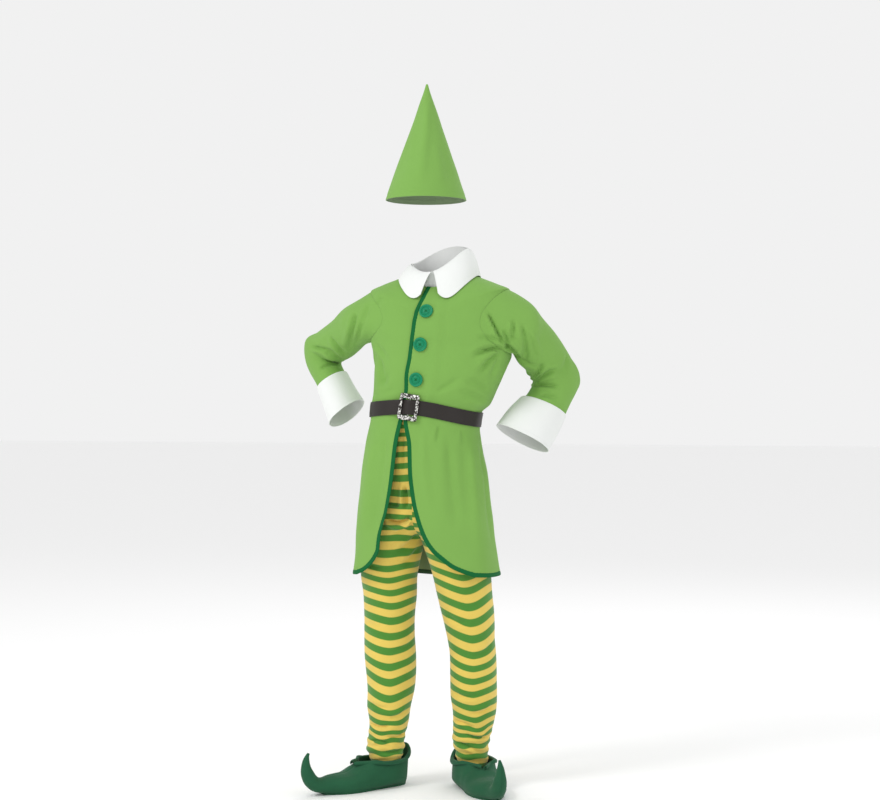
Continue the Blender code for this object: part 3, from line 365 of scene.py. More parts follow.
def add_shell(name, outer, inner, finish, loop=False, bands=None):
    """A closed thin wall between two grids of points, with its weave in metres as a UV map."""
    rows, columns = outer.shape[:2]
    count = rows * columns
    corner_rows, corner_columns = corners_of(rows, columns, loop)
    quads = corner_rows * columns + corner_columns % columns
    over, down = lengths(outer, loop)
    spots = np.stack([over[corner_columns], down[corner_rows]], -1)
    faces = [quads, quads[:, ::-1] + count]
    places = [spots, spots[:, ::-1]]
    ring = np.arange(columns if loop else columns - 1)
    for row in (0, rows - 1):
        near = row * columns + ring
        far = row * columns + (ring + 1) % columns
        rim = np.stack([near, far, far + count, near + count], 1)
        rim_spots = np.stack([over[ring], over[ring + 1], over[ring + 1], over[ring]], 1)
        faces.append(rim[:, ::-1] if row == 0 else rim)
        spot = np.stack([rim_spots, np.full(rim_spots.shape, down[row])], -1)
        places.append(spot[:, ::-1] if row == 0 else spot)
    if not loop:
        for column in (0, columns - 1):
            near = np.arange(rows - 1) * columns + column
            rim = np.stack([near, near + columns, near + columns + count, near + count], 1)
            heights = np.stack([down[:-1], down[1:], down[1:], down[:-1]], 1)
            spot = np.stack([np.full(heights.shape, over[column]), heights], -1)
            faces.append(rim if column == 0 else rim[:, ::-1])
            places.append(spot if column == 0 else spot[:, ::-1])
    points = np.concatenate([outer.reshape(-1, 3), inner.reshape(-1, 3)]) - np.array([0, 0, NECK_HEIGHT])
    faces, places = np.concatenate(faces), np.concatenate(places)
    first = points[faces]
    turned = np.cross(first[:, 1] - first[:, 0], first[:, 2] - first[:, 0])
    if (first[:, 0] * turned).sum() < 0:
        faces, places = faces[:, ::-1], places[:, ::-1]
    mesh = bpy.data.meshes.new(name)
    mesh.from_pydata(points.tolist(), [], faces.tolist())
    weave = mesh.uv_layers.new(name="weave")
    weave.data.foreach_set("uv", places.reshape(-1))
    inside = mesh.attributes.new("inside", "FLOAT", "POINT")
    inside.data.foreach_set("value", np.repeat([0.0, 1.0], count))
    if bands is not None:
        layer = mesh.attributes.new("band", "FLOAT", "POINT")
        layer.data.foreach_set("value", np.tile(bands.ravel(), 2))
    mesh.shade_smooth()
    mesh.set_sharp_from_angle(angle=math.radians(60))
    return add_piece(name, mesh, finish)


def add_piece(name, mesh, finish):
    mesh.materials.append(FINISHES[finish])
    piece = bpy.data.objects.new(name, mesh)
    bpy.context.scene.collection.objects.link(piece)
    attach(piece, "root")
    return piece


def declare(grid):
    """Works out how wide and long a shell's grid is, and its area, kept no larger than the two multiplied; nothing is
    done with them.
    """
    sides = [grid[:-1, 1:] - grid[:-1, :-1], grid[1:, :-1] - grid[:-1, :-1]]
    area = np.linalg.norm(np.cross(*sides), axis=-1).sum()
    wide = np.linalg.norm(np.diff(grid, axis=1), axis=-1).sum(1).max()
    long = np.linalg.norm(np.diff(grid, axis=0), axis=-1).sum(0).max()
    area = min(area, wide * long)


def refine(grid, count):
    """More rows through a grid's rows, on smooth curves."""
    gaps = np.linalg.norm(np.diff(grid, axis=0), axis=-1).mean(1)
    at = np.concatenate([[0], np.cumsum(gaps)])
    slopes = np.diff(grid, axis=0) / gaps[:, None, None]
    inner = (slopes[:-1] * gaps[1:, None, None] + slopes[1:] * gaps[:-1, None, None]) / (gaps[1:] + gaps[:-1])[:, None, None]
    bends = np.concatenate([slopes[:1], inner, slopes[-1:]])
    where = np.linspace(0, at[-1], count)
    i = np.clip(np.searchsorted(at, where, side="right") - 1, 0, len(gaps) - 1)
    t = ((where - at[i]) / gaps[i])[:, None, None]
    gap = gaps[i][:, None, None]
    start = grid[i] * (1 + 2 * t) * (1 - t) ** 2 + bends[i] * gap * t * (1 - t) ** 2
    return start + grid[i + 1] * t * t * (3 - 2 * t) + bends[i + 1] * gap * t * t * (t - 1)


def refine_columns(grid, count):
    return refine(grid.transpose(1, 0, 2), count).transpose(1, 0, 2)


def grid_normals(grid, loop=True):
    """Outward normals of a grid, from its middle line."""
    over_rows = np.gradient(grid, axis=0)
    over_columns = (np.roll(grid, -1, 1) - np.roll(grid, 1, 1)) / 2 if loop else np.gradient(grid, axis=1)
    normal = unit(np.cross(over_columns, over_rows))
    away = grid - grid.mean(1, keepdims=True)
    return normal * np.sign((normal * away).sum(-1).mean())


# Materials
def new_material(name, colour, rough, **sockets):
    """A Principled material with its plain values set on the shader."""
    made = bpy.data.materials.new(name)
    made.use_nodes = True
    shader = made.node_tree.nodes["Principled BSDF"]
    shader.inputs["Base Color"].default_value = (*colour, 1)
    shader.inputs["Roughness"].default_value = rough
    for socket, value in sockets.items():
        shader.inputs[socket.replace("_", " ")].default_value = value
    return made, made.node_tree, shader


def node(tree, kind, **values):
    """A node with its settings and its inputs' values, given as name=value."""
    made = tree.nodes.new(kind)
    for name, value in values.items():
        if name in made.inputs:
            made.inputs[name].default_value = value
        else:
            setattr(made, name, value)
    return made


def mottled(tree, shader, place, colour, spread, scale):
    """Colour that changes a little over the cloth."""
    noise = node(tree, "ShaderNodeTexNoise", Scale=scale, Detail=4.0, Roughness=0.6)
    tree.links.new(place, noise.inputs["Vector"])
    mix = node(tree, "ShaderNodeMix", data_type="RGBA")
    mix.inputs[6].default_value = (*[part * (1 - spread) for part in colour], 1)
    mix.inputs[7].default_value = (*[min(1.0, part * (1 + spread)) for part in colour], 1)
    tree.links.new(noise.outputs["Fac"], mix.inputs[0])
    return mix


def weave_bump(tree, shader, pitch, strength, depth):
    """Threads over and under at this pitch, in metres, along the weave's UV map."""
    cut = node(tree, "ShaderNodeUVMap", uv_map="weave")
    waves = []
    for turn in (0.0, math.pi / 2):
        mapping = node(tree, "ShaderNodeMapping")
        mapping.inputs["Rotation"].default_value = (0, 0, turn)
        tree.links.new(cut.outputs["UV"], mapping.inputs["Vector"])
        wave = node(tree, "ShaderNodeTexWave", Scale=0.314 / pitch, Distortion=0.6, Detail=1.0)
        wave.inputs["Detail Scale"].default_value = 2.0
        tree.links.new(mapping.outputs["Vector"], wave.inputs["Vector"])
        waves.append(wave)
    both = node(tree, "ShaderNodeMath", operation="MULTIPLY")
    for index, wave in enumerate(waves):
        tree.links.new(wave.outputs["Fac"], both.inputs[index])
    bump = node(tree, "ShaderNodeBump", Strength=strength, Distance=depth)
    tree.links.new(both.outputs[0], bump.inputs["Height"])
    tree.links.new(bump.outputs["Normal"], shader.inputs["Normal"])
    return both


def cloth_material(name, colour, rough, pitch, sheen, spread=0.05, strength=0.35):
    made, tree, shader = new_material(name, colour, rough, Sheen_Weight=sheen, Sheen_Roughness=0.5,
                                      Specular_IOR_Level=0.2)
    place = node(tree, "ShaderNodeTexCoord").outputs["Object"]
    threads = weave_bump(tree, shader, pitch, strength, pitch * 0.3)
    tone = mottled(tree, shader, place, colour, spread, 9.0)
    # Painted shade: the inner faces of each shell get a greyer colour, standing in for the shade that falls inside the
    # coat.
    inside_painted_shade = node(tree, "ShaderNodeMix", data_type="RGBA")
    grey = sum(colour) / 3
    inside_painted_shade.inputs[7].default_value = (*[0.4 * part + 0.6 * grey for part in colour], 1)
    tree.links.new(node(tree, "ShaderNodeAttribute", attribute_name="inside").outputs["Fac"], inside_painted_shade.inputs[0])
    tree.links.new(tone.outputs[2], inside_painted_shade.inputs[6])
    # Painted shade between the threads: the colour darkens a little where the weave's bump is low.
    shade = node(tree, "ShaderNodeMix", data_type="RGBA", blend_type="MULTIPLY")
    shade.inputs[0].default_value = 0.10
    tree.links.new(inside_painted_shade.outputs[2], shade.inputs[6])
    tree.links.new(threads.outputs[0], shade.inputs[7])
    tree.links.new(shade.outputs[2], shader.inputs["Base Color"])
    return made


def felt_material(name, colour, rough, sheen, spread):
    """Pressed wool: soft fibres at two sizes and no weave."""
    made, tree, shader = new_material(name, colour, rough, Sheen_Weight=sheen, Sheen_Roughness=0.4,
                                      Specular_IOR_Level=0.2)
    place = node(tree, "ShaderNodeTexCoord").outputs["Object"]
    tone = mottled(tree, shader, place, colour, spread, 22.0)
    tree.links.new(tone.outputs[2], shader.inputs["Base Color"])
    fibres = node(tree, "ShaderNodeTexNoise", Scale=900.0, Detail=3.0, Roughness=0.7)
    tree.links.new(place, fibres.inputs["Vector"])
    bump = node(tree, "ShaderNodeBump", Strength=0.35, Distance=0.0006)
    tree.links.new(fibres.outputs["Fac"], bump.inputs["Height"])
    tree.links.new(bump.outputs["Normal"], shader.inputs["Normal"])
    return made


STRIPE_GREEN, STRIPE_YELLOW = (0.066, 0.270, 0.022), (0.870, 0.640, 0.115)
STRIPE_SHARE = 0.50


def knit_material(name):
    """Striped knit: the band attribute counts stripes up the leg, and each is green over its first part."""
    made, tree, shader = new_material(name, STRIPE_YELLOW, 0.85, Sheen_Weight=0.25, Sheen_Roughness=0.5)
    place = node(tree, "ShaderNodeTexCoord").outputs["Object"]
    band = node(tree, "ShaderNodeAttribute", attribute_name="band").outputs["Fac"]
    part = node(tree, "ShaderNodeMath", operation="FRACT")
    tree.links.new(band, part.inputs[0])
    from_middle = node(tree, "ShaderNodeMath", operation="PINGPONG")
    from_middle.inputs[1].default_value = 0.5
    tree.links.new(part.outputs[0], from_middle.inputs[0])
    ramp = node(tree, "ShaderNodeValToRGB")
    ramp.color_ramp.elements[0].position = STRIPE_SHARE / 2 - 0.02
    ramp.color_ramp.elements[0].color = (*STRIPE_GREEN, 1)
    ramp.color_ramp.elements[1].position = STRIPE_SHARE / 2 + 0.02
    ramp.color_ramp.elements[1].color = (*STRIPE_YELLOW, 1)
    tree.links.new(from_middle.outputs[0], ramp.inputs["Fac"])
    noise = node(tree, "ShaderNodeTexNoise", Scale=14.0, Detail=3.0)
    tree.links.new(place, noise.inputs["Vector"])
    tone = node(tree, "ShaderNodeMapRange")
    tone.inputs["To Min"].default_value = 0.90
    tone.inputs["To Max"].default_value = 1.10
    tree.links.new(noise.outputs["Fac"], tone.inputs["Value"])
    shade = node(tree, "ShaderNodeMix", data_type="RGBA", blend_type="MULTIPLY")
    shade.inputs[0].default_value = 1.0
    tree.links.new(ramp.outputs["Color"], shade.inputs[6])
    tree.links.new(tone.outputs["Result"], shade.inputs[7])
    threads = weave_bump(tree, shader, 0.0022, 0.5, 0.0006)
    # Painted shade between the stitches: the colour darkens where the threads' bump is low.
    stitch_shade = node(tree, "ShaderNodeMix", data_type="RGBA", blend_type="MULTIPLY")
    stitch_shade.inputs[0].default_value = 0.18
    tree.links.new(shade.outputs[2], stitch_shade.inputs[6])
    tree.links.new(threads.outputs[0], stitch_shade.inputs[7])
    tree.links.new(stitch_shade.outputs[2], shader.inputs["Base Color"])
    return made


def leather_material(name, colour):
    made, tree, shader = new_material(name, colour, 0.48, Specular_IOR_Level=0.30)
    place = node(tree, "ShaderNodeTexCoord").outputs["Object"]
    tone = mottled(tree, shader, place, colour, 0.20, 30.0)
    tree.links.new(tone.outputs[2], shader.inputs["Base Color"])
    grain = node(tree, "ShaderNodeTexVoronoi", Scale=700.0, feature="SMOOTH_F1")
    tree.links.new(place, grain.inputs["Vector"])
    bump = node(tree, "ShaderNodeBump", Strength=0.30, Distance=0.0004)
    tree.links.new(grain.outputs["Distance"], bump.inputs["Height"])
    tree.links.new(bump.outputs["Normal"], shader.inputs["Normal"])
    return made


def hard_material(name, colour, rough, **sockets):
    """Moulded plastic or metal, with faint uneven wear in its gloss."""
    made, tree, shader = new_material(name, colour, rough, **sockets)
    place = node(tree, "ShaderNodeTexCoord").outputs["Object"]
    wear = node(tree, "ShaderNodeTexNoise", Scale=160.0, Detail=3.0)
    tree.links.new(place, wear.inputs["Vector"])
    gloss = node(tree, "ShaderNodeMapRange")
    gloss.inputs["To Min"].default_value = rough * 0.8
    gloss.inputs["To Max"].default_value = rough * 1.35
    tree.links.new(wear.outputs["Fac"], gloss.inputs["Value"])
    tree.links.new(gloss.outputs["Result"], shader.inputs["Roughness"])
    return made


def silver_material(name):
    """Bright metal with dark engraving between its raised parts."""
    made, tree, shader = new_material(name, (0.70, 0.70, 0.67), 0.25, Metallic=1.0)
    place = node(tree, "ShaderNodeTexCoord").outputs["Object"]
    cells = node(tree, "ShaderNodeTexVoronoi", Scale=240.0)
    tree.links.new(place, cells.inputs["Vector"])
    ramp = node(tree, "ShaderNodeValToRGB")
    ramp.color_ramp.elements[0].position = 0.42
    ramp.color_ramp.elements[0].color = (0.80, 0.80, 0.77, 1)
    ramp.color_ramp.elements[1].position = 0.62
    ramp.color_ramp.elements[1].color = (0.075, 0.068, 0.062, 1)
    tree.links.new(cells.outputs["Distance"], ramp.inputs["Fac"])
    tree.links.new(ramp.outputs["Color"], shader.inputs["Base Color"])
    bump = node(tree, "ShaderNodeBump", Strength=0.8, Distance=0.0008)
    bump.invert = True
    tree.links.new(cells.outputs["Distance"], bump.inputs["Height"])
    tree.links.new(bump.outputs["Normal"], shader.inputs["Normal"])
    return made


FINISHES = {
    "coat_green": cloth_material("coat_green", (0.212, 0.425, 0.088), 0.85, 0.0011, 0.06),
    "binding_green": cloth_material("binding_green", (0.002, 0.128, 0.030), 0.75, 0.0008, 0.0),
    "white_cloth": cloth_material("white_cloth", (0.86, 0.88, 0.86), 0.85, 0.0010, 0.10, 0.015),
    "button_green": hard_material("button_green", (0.003, 0.225, 0.100), 0.38, Specular_IOR_Level=0.25),
    "belt_black": leather_material("belt_black", (0.020, 0.016, 0.014)),
    "buckle_silver": silver_material("buckle_silver"),
    "stripe_yellow": knit_material("stripe_yellow"),
    "shoe_green": felt_material("shoe_green", (0.018, 0.098, 0.046), 0.85, 0.10, 0.22),
}


# The coat's panels
PANEL_ROWS = {"low": 130, "arm": 44, "high": 16}
PANEL_COLUMNS = 84
SEAM_DEEP, SEAM_WIDE = 0.0003, 0.0030


def arm_level(turn):
    return ARM_BOTTOM + (ARM_TOP - ARM_BOTTOM) * (1 - np.cos(turn)) / 2


def arm_edge(turn):
    return ARM_OPENING * np.sin(turn)


def panel_levels():
    """Each row's level and how far the panel's side edge is drawn back from the side line."""
    turns = np.linspace(0, math.pi, PANEL_ROWS["arm"])
    low = np.linspace(HEM_LEVEL + UNDER_BINDING, ARM_BOTTOM, PANEL_ROWS["low"])[:-1]
    high = np.linspace(ARM_TOP, PANEL_TOP, PANEL_ROWS["high"])[1:]
    levels = np.concatenate([low, arm_level(turns), high])
    backs = np.concatenate([0 * low, arm_edge(turns), 0 * high])
    return levels, backs


def inset(surface, path, distance):
    """A path of two numbers on a surface, moved over the surface square to itself, to its left."""
    a, b = path[:, 0], path[:, 1]
    run = unit(np.gradient(surface(a, b), axis=0))
    side = unit(np.cross(outward(surface, a, b), run)) * distance
    over_a = (surface(a + PROBE, b) - surface(a - PROBE, b)) / (2 * PROBE)
    over_b = (surface(a, b + PROBE) - surface(a, b - PROBE)) / (2 * PROBE)
    moved = []
    for index in range(len(path)):
        axes = np.stack([over_a[index], over_b[index]], -1)
        moved.append(np.linalg.lstsq(axes, side[index], rcond=None)[0])
    return path + np.array(moved)


HEM_POINTS = 40


def edge_path(edge, side_angle):
    """A front panel's free edge from its side seam along the hem and up to the neck, as angles and levels."""
    start = math.radians(edge["angle"][0])
    hem = [(angle, HEM_LEVEL) for angle in np.linspace(side_angle, start, HEM_POINTS)[:-1]]
    levels = HEM_LEVEL + (PANEL_TOP - HEM_LEVEL) * np.linspace(0, 1, 220) ** 1.7
    angles = np.radians(smooth(levels, edge["level"], edge["angle"]))
    return np.array(hem + list(zip(angles, levels)))


def add_binding(name, surface, path, turn):
    """A folded strip over an edge, rounded across and a little puckered along its stitching."""
    shares = np.linspace(0, 1, 9)
    strip = np.stack([path if share == 0 else inset(surface, path, turn * BINDING_WIDE * share) for share in shares], 1)
    angles, levels = strip[..., 0], strip[..., 1]
    points, normals = relief_on(surface, angles, levels)
    along = np.concatenate([[0], np.cumsum(np.linalg.norm(np.diff(points[:, 0], axis=0), axis=-1))])
    pucker = 0.00012 * np.sin(along * 900)[:, None] * np.exp(-(((shares - 0.86) / 0.1) ** 2))
    round_share = 1 - np.abs(2 * shares - 1) ** 5
    stitch = 0.0004 * np.exp(-(((shares - 0.86) / 0.05) ** 2))
    proud = -CLOTH / 2 + BINDING_THICK / 2 * (0.35 + 0.65 * round_share) - stitch + pucker
    under = -CLOTH / 2 - BINDING_THICK / 2 * (0.35 + 0.65 * round_share)
    outer = points + normals * proud[..., None]
    inner = points + normals * np.broadcast_to(under, angles.shape)[..., None]
    piece = add_shell(name, outer, inner, "binding_green")
    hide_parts(name)
    return piece


def seam_dip(off, dips=SEAM_DEEP):
    """The shallow groove along a seam, by the distance from it."""
    return -dips * np.exp(-((off / SEAM_WIDE) ** 2))


def finish_panel(name, surface, angles, rows, sides):
    points, normals = relief_on(surface, angles, rows)
    reach = smooth(rows, BODY["level"], BODY["half_width"])
    off = np.minimum.reduce([np.abs(angles - edge[:, None]) * reach for edge in sides])
    points = points + normals * seam_dip(off)[..., None]
    panel = add_shell(name, points, points - normals * CLOTH, "coat_green")
    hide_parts(name)
    declare(points)
    return panel


def add_front(name, surface, edge, side):
    """A front panel with its binding. side is 1 for the wearer's left and -1 for their right."""
    levels, backs = panel_levels()
    sides = -backs if side > 0 else -math.pi + backs
    path = edge_path(edge, 0.0 if side > 0 else -math.pi)
    add_binding("binding_front_" + ("left" if side > 0 else "right"), surface, path, -side)
    line = inset(surface, path, -side * UNDER_BINDING)
    rising = line[HEM_POINTS - 1:]
    rising = rising[np.argsort(rising[:, 1])]
    fronts = np.interp(levels, rising[:, 1], rising[:, 0])
    share = np.linspace(0, 1, PANEL_COLUMNS)
    angles = sides[:, None] + (fronts - sides)[:, None] * share
    rows = np.repeat(levels[:, None], PANEL_COLUMNS, 1)
    hem_line = line[:HEM_POINTS]
    hem_line = hem_line[np.argsort(hem_line[:, 0])]
    low = np.interp(angles[0], hem_line[:, 0], hem_line[:, 1])
    settle = ease((levels - levels[0]) / 0.02)[:, None]
    rows = rows + (low - levels[0])[None] * (1 - settle)
    finish_panel(name, surface, angles, rows, [sides])


def add_back():
    """The back panel and its hem's binding."""
    levels, backs = panel_levels()
    share = np.linspace(0, 1, 2 * PANEL_COLUMNS - 20)
    angles = backs[:, None] + (math.pi - 2 * backs)[:, None] * share
    rows = np.repeat(levels[:, None], len(share), 1)
    hem = np.linspace(0, math.pi, 160)
    path = np.stack([hem, np.full(hem.shape, HEM_LEVEL)], -1)
    add_binding("binding_back", body, path, 1)
    line = inset(body, path, UNDER_BINDING)
    low = np.interp(angles[0], line[:, 0], line[:, 1])
    settle = ease((levels - levels[0]) / 0.02)[:, None]
    rows = rows + (low - levels[0])[None] * (1 - settle)
    finish_panel("coat_back", body, angles, rows, [backs, math.pi - backs])


# Sleeves and cuffs
ARM_COLUMNS = "outer_across outer_height inner_across inner_height back deep"
SLEEVE_RIGHT = table(ARM_COLUMNS, [
    (-0.1745, 1.0205, -0.1655, 0.9265, 0.060, 0.052),
    (-0.2020, 1.0075, -0.1790, 0.9145, 0.090, 0.050),
    (-0.2290, 0.9835, -0.1935, 0.9030, 0.120, 0.048),
    (-0.2680, 0.9560, -0.2075, 0.8965, 0.150, 0.048),
    (-0.2935, 0.9390, -0.2145, 0.8935, 0.168, 0.048),
    (-0.2965, 0.9185, -0.2160, 0.8905, 0.170, 0.048),
    (-0.2940, 0.8945, -0.2150, 0.8860, 0.168, 0.047),
    (-0.2850, 0.8710, -0.2115, 0.8785, 0.162, 0.046),
    (-0.2740, 0.8515, -0.2085, 0.8725, 0.156, 0.045),
    (-0.2620, 0.8300, -0.2050, 0.8665, 0.148, 0.044),
    (-0.2575, 0.8215, -0.2005, 0.8580, 0.145, 0.044),
])
SLEEVE_LEFT = table(ARM_COLUMNS, [
    (0.1810, 1.0165, 0.1590, 0.9035, -0.030, 0.055),
    (0.2115, 0.9840, 0.1680, 0.8855, -0.012, 0.053),
    (0.2415, 0.9510, 0.1815, 0.8735, 0.005, 0.050),
    (0.2635, 0.9200, 0.1890, 0.8620, 0.018, 0.048),
    (0.2805, 0.8925, 0.1935, 0.8545, 0.026, 0.047),
    (0.2915, 0.8695, 0.1960, 0.8480, 0.030, 0.046),
    (0.2945, 0.8480, 0.1945, 0.8405, 0.030, 0.045),
    (0.2880, 0.8250, 0.1900, 0.8310, 0.026, 0.043),
    (0.2770, 0.8040, 0.1835, 0.8215, 0.020, 0.041),
    (0.2600, 0.7720, 0.1750, 0.8125, 0.010, 0.038),
    (0.2545, 0.7630, 0.1705, 0.8030, 0.006, 0.038),
])
CUFF_RIGHT = table(ARM_COLUMNS, [
    (-0.2670, 0.8322, -0.2030, 0.8707, 0.150, 0.0465),
    (-0.2535, 0.7990, -0.1850, 0.8385, 0.136, 0.0540),
    (-0.2370, 0.7535, -0.1660, 0.8080, 0.121, 0.0600),
])
CUFF_LEFT = table(ARM_COLUMNS, [
    (0.2648, 0.7748, 0.1705, 0.8167, 0.012, 0.0416),
    (0.2490, 0.7420, 0.1440, 0.7910, -0.004, 0.0450),
    (0.2260, 0.7015, 0.1190, 0.7575, -0.020, 0.0480),
])


def facing(across, height, depth):
    """A point given across and behind a plane that is turned to the view, as the arms are drawn."""
    x = across * np.cos(VIEW) - depth * np.sin(VIEW)
    y = across * np.sin(VIEW) + depth * np.cos(VIEW)
    return np.stack([x, y, height], -1)


def sections(rows, turns):
    """Rings of a tube from its outer and inner outline. Turn 0 is the inner side and 90 degrees the front."""
    outer = facing(rows["outer_across"], rows["outer_height"], rows["back"])
    inner = facing(rows["inner_across"], rows["inner_height"], rows["back"])
    middle = (outer + inner) / 2
    reach = (inner - outer) / 2
    towards = np.array([math.sin(VIEW), -math.cos(VIEW), 0.0])
    run = unit(np.gradient(middle, axis=0))
    for _ in range(4):
        run[1:-1] = unit(run[:-2] + 2 * run[1:-1] + run[2:])
    side = unit(reach)
    front = towards - (side @ towards)[:, None] * side
    run = unit(run - (run * side).sum(-1, keepdims=True) * side)
    front = unit(front - 0.7 * (front * run).sum(-1, keepdims=True) * run)
    swing = np.cos(turns)[None, :, None] * reach[:, None]
    return middle[:, None] + swing + np.sin(turns)[None, :, None] * (front * rows["deep"][:, None])[:, None]


def armhole(side, turns):
    """A coat's armhole: its points with their creases, and the way out over the hole."""
    around = -side * arm_edge(turns)
    angle = around if side > 0 else math.pi + around
    level = arm_level(turns)
    points, normals = relief_on(body, angle, level)
    points = points + normals * seam_dip(0.0)
    run = unit(np.roll(points, -1, 0) - np.roll(points, 1, 0))
    away = unit(np.cross(run, normals))
    return points, away * np.sign((away * (points.mean(0) - points)).sum(-1))[:, None]


def add_sleeve(name, rows, side):
    turns = np.linspace(0, 2 * math.pi, 112, endpoint=False)
    hole, away = armhole(side, turns)
    grid = refine(np.concatenate([(hole + away * 0.0003)[None], sections(rows, turns)]), 150)
    normals = grid_normals(grid)
    far = np.linalg.norm(np.diff(grid, axis=0), axis=-1).cumsum(0)
    far = np.concatenate([np.zeros((1, len(turns))), far])
    free = ease(far / 0.02)
    moved = all_creases(grid, normals, SLEEVE_CREASES) + ripple(grid, 0.0016)
    grid = grid + normals * (moved * free + seam_dip(far, 0.0006) * free)[..., None]
    sleeve = add_shell(name, grid, grid - normals * CLOTH, "coat_green", loop=True)
    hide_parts(name)
    declare(grid)


def add_cuff(name, rows):
    """A flared cuff, turned up at its ends, with a soft wave in its open edge."""
    turns = np.linspace(0, 2 * math.pi, 112, endpoint=False)
    grid = refine(sections(rows, turns), 46)
    normals = grid_normals(grid)
    down = np.linspace(0, 1, len(grid))[:, None]
    wave = 0.0012 * down**2 * np.sin(3 * turns + 0.7) + 0.0007 * np.sin(2 * turns + 2.0)
    hem = -0.0005 * np.exp(-(((down - 0.93) / 0.012) ** 2)) - 0.0006 * np.exp(-((down / 0.03) ** 2))
    grid = grid + normals * (wave + hem + ripple(grid, 0.0006))[..., None]
    cuff = add_shell(name, grid, grid - normals * CLOTH, "white_cloth", loop=True)
    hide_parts(name)
    declare(grid)


# Collar
ROLL = {"half_width": 0.0605, "front": 0.0570, "back": 0.0590, "side_height": 1.112}
ROLL_FRONT, ROLL_BACK, ROLL_TILT = -0.035, 0.022, 0.24
COLLAR_LEVEL, COLLAR_DIP, COLLAR_RISE = 1.0605, 0.0150, 0.0065
LOBE_LEFT, LOBE_RIGHT = math.radians(-77), math.radians(-105)
LOBE_ROUND = math.radians(30)
FALL_CLEAR = 0.0012
STAND_INSET, STAND_DROP = 0.0021, 0.0030


def ring_at(angle, shape, heights):
    """A superellipse ring whose height changes from side to front or back."""
    side_height, front_rise, back_rise, tilt = heights
    across, along = np.cos(angle), np.sin(angle)
    depth = np.where(along < 0, shape["front"], shape["back"])
    reach = (np.abs(across) / shape["half_width"]) ** 2.1 + (np.abs(along) / depth) ** 2.1
    reach = reach ** (-1 / 2.1)
    rise = np.where(along < 0, front_rise, back_rise)
    height = side_height + rise * along * along + tilt * reach * across
    return np.stack([reach * across, reach * along, height], -1)


def roll_line(angle, out=0.0, up=0.0):
    shape = {key: ROLL[key] + out for key in ("half_width", "front", "back")}
    return ring_at(angle, shape, (ROLL["side_height"] + up, ROLL_FRONT, ROLL_BACK, ROLL_TILT))


def add_collar():
    """The stand, closed in front, and the fall over it, parted in front with a rounded lobe on each side."""
    flat = np.array([1, 1, 0])
    turns = np.linspace(0, 2 * math.pi, 120, endpoint=False)
    neck = body(turns, np.full(turns.shape, NECK_LEVEL))
    low = neck - unit(neck * flat) * STAND_INSET - np.array([0, 0, STAND_DROP])
    high = roll_line(turns, -0.0022, -0.0012)
    middle = (low + high) / 2 + unit(high * flat) * -0.001
    grid = refine(np.stack([low, middle, high]), 20)
    stand = add_shell("collar_stand", grid, grid - grid_normals(grid) * CLOTH, "white_cloth", loop=True)
    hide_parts("collar_stand")
    declare(grid)

    columns, drops = 200, np.linspace(0, 1, 34)
    share = np.linspace(0, 1, columns)
    starts = FRONT + np.interp(drops, [0, 1], [math.radians(1.0), LOBE_LEFT - FRONT])
    ends = FRONT + 2 * math.pi + np.interp(drops, [0, 1], [math.radians(-1.0), LOBE_RIGHT - FRONT])
    grid = np.empty((len(drops), columns, 3))
    for index, (start, end) in enumerate(zip(starts, ends)):
        angle = start + (end - start) * share
        near = np.minimum(angle - start, end - angle)
        short = 1 - 0.22 * (1 - np.clip(near / LOBE_ROUND, 0, 1)) ** 2.5
        weight = (drops[index] * short)[:, None]
        level = COLLAR_LEVEL - COLLAR_DIP * np.clip(-np.sin(angle), 0, 1) ** 3
        level = level + COLLAR_RISE * np.cos(angle) ** 2
        rest = lifted(body, angle, level, np.full(angle.shape, FALL_CLEAR + CLOTH))
        bend = roll_line(angle, 0.0135, -0.004)
        grid[index] = roll_line(angle) * (1 - weight) ** 2 + bend * 2 * weight * (1 - weight) + rest * weight**2
    normals = grid_normals(grid, loop=False)
    normals = normals * np.sign((normals * (grid - grid.mean((0, 1)))).sum(-1).mean())
    groove = -0.0004 * np.exp(-(((drops - 0.92) / 0.015) ** 2))[:, None]
    grid = grid + normals * (ripple(grid, 0.0007) * drops[:, None] + groove)[..., None]
    fall = add_shell("collar_fall", grid, grid - normals * CLOTH, "white_cloth")
    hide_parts("collar_fall")
    declare(grid)


# Belt, buckle and buttons
BUCKLE_ANGLE = math.radians(-95.4)
BUCKLE_LEVEL = 0.7790
BUCKLE_HALF_WIDE, BUCKLE_HALF_HIGH = 0.0212, 0.0275
BUCKLE_BAR, BUCKLE_THICK = 0.0066, 0.0026
BUCKLE_LEAN = math.radians(9)
BUCKLE_OUT = LAP_LIFT + BELT_CLEAR + BELT_THICK + 0.0017
BUTTON_RADIUS, BUTTON_THICK = 0.0147, 0.0042
BUTTON_LEVELS = {
    "button_top": (1.0445, -93.4),
    "button_middle": (0.9117, -98.9),
    "button_bottom": (0.8370, -97.1),
}


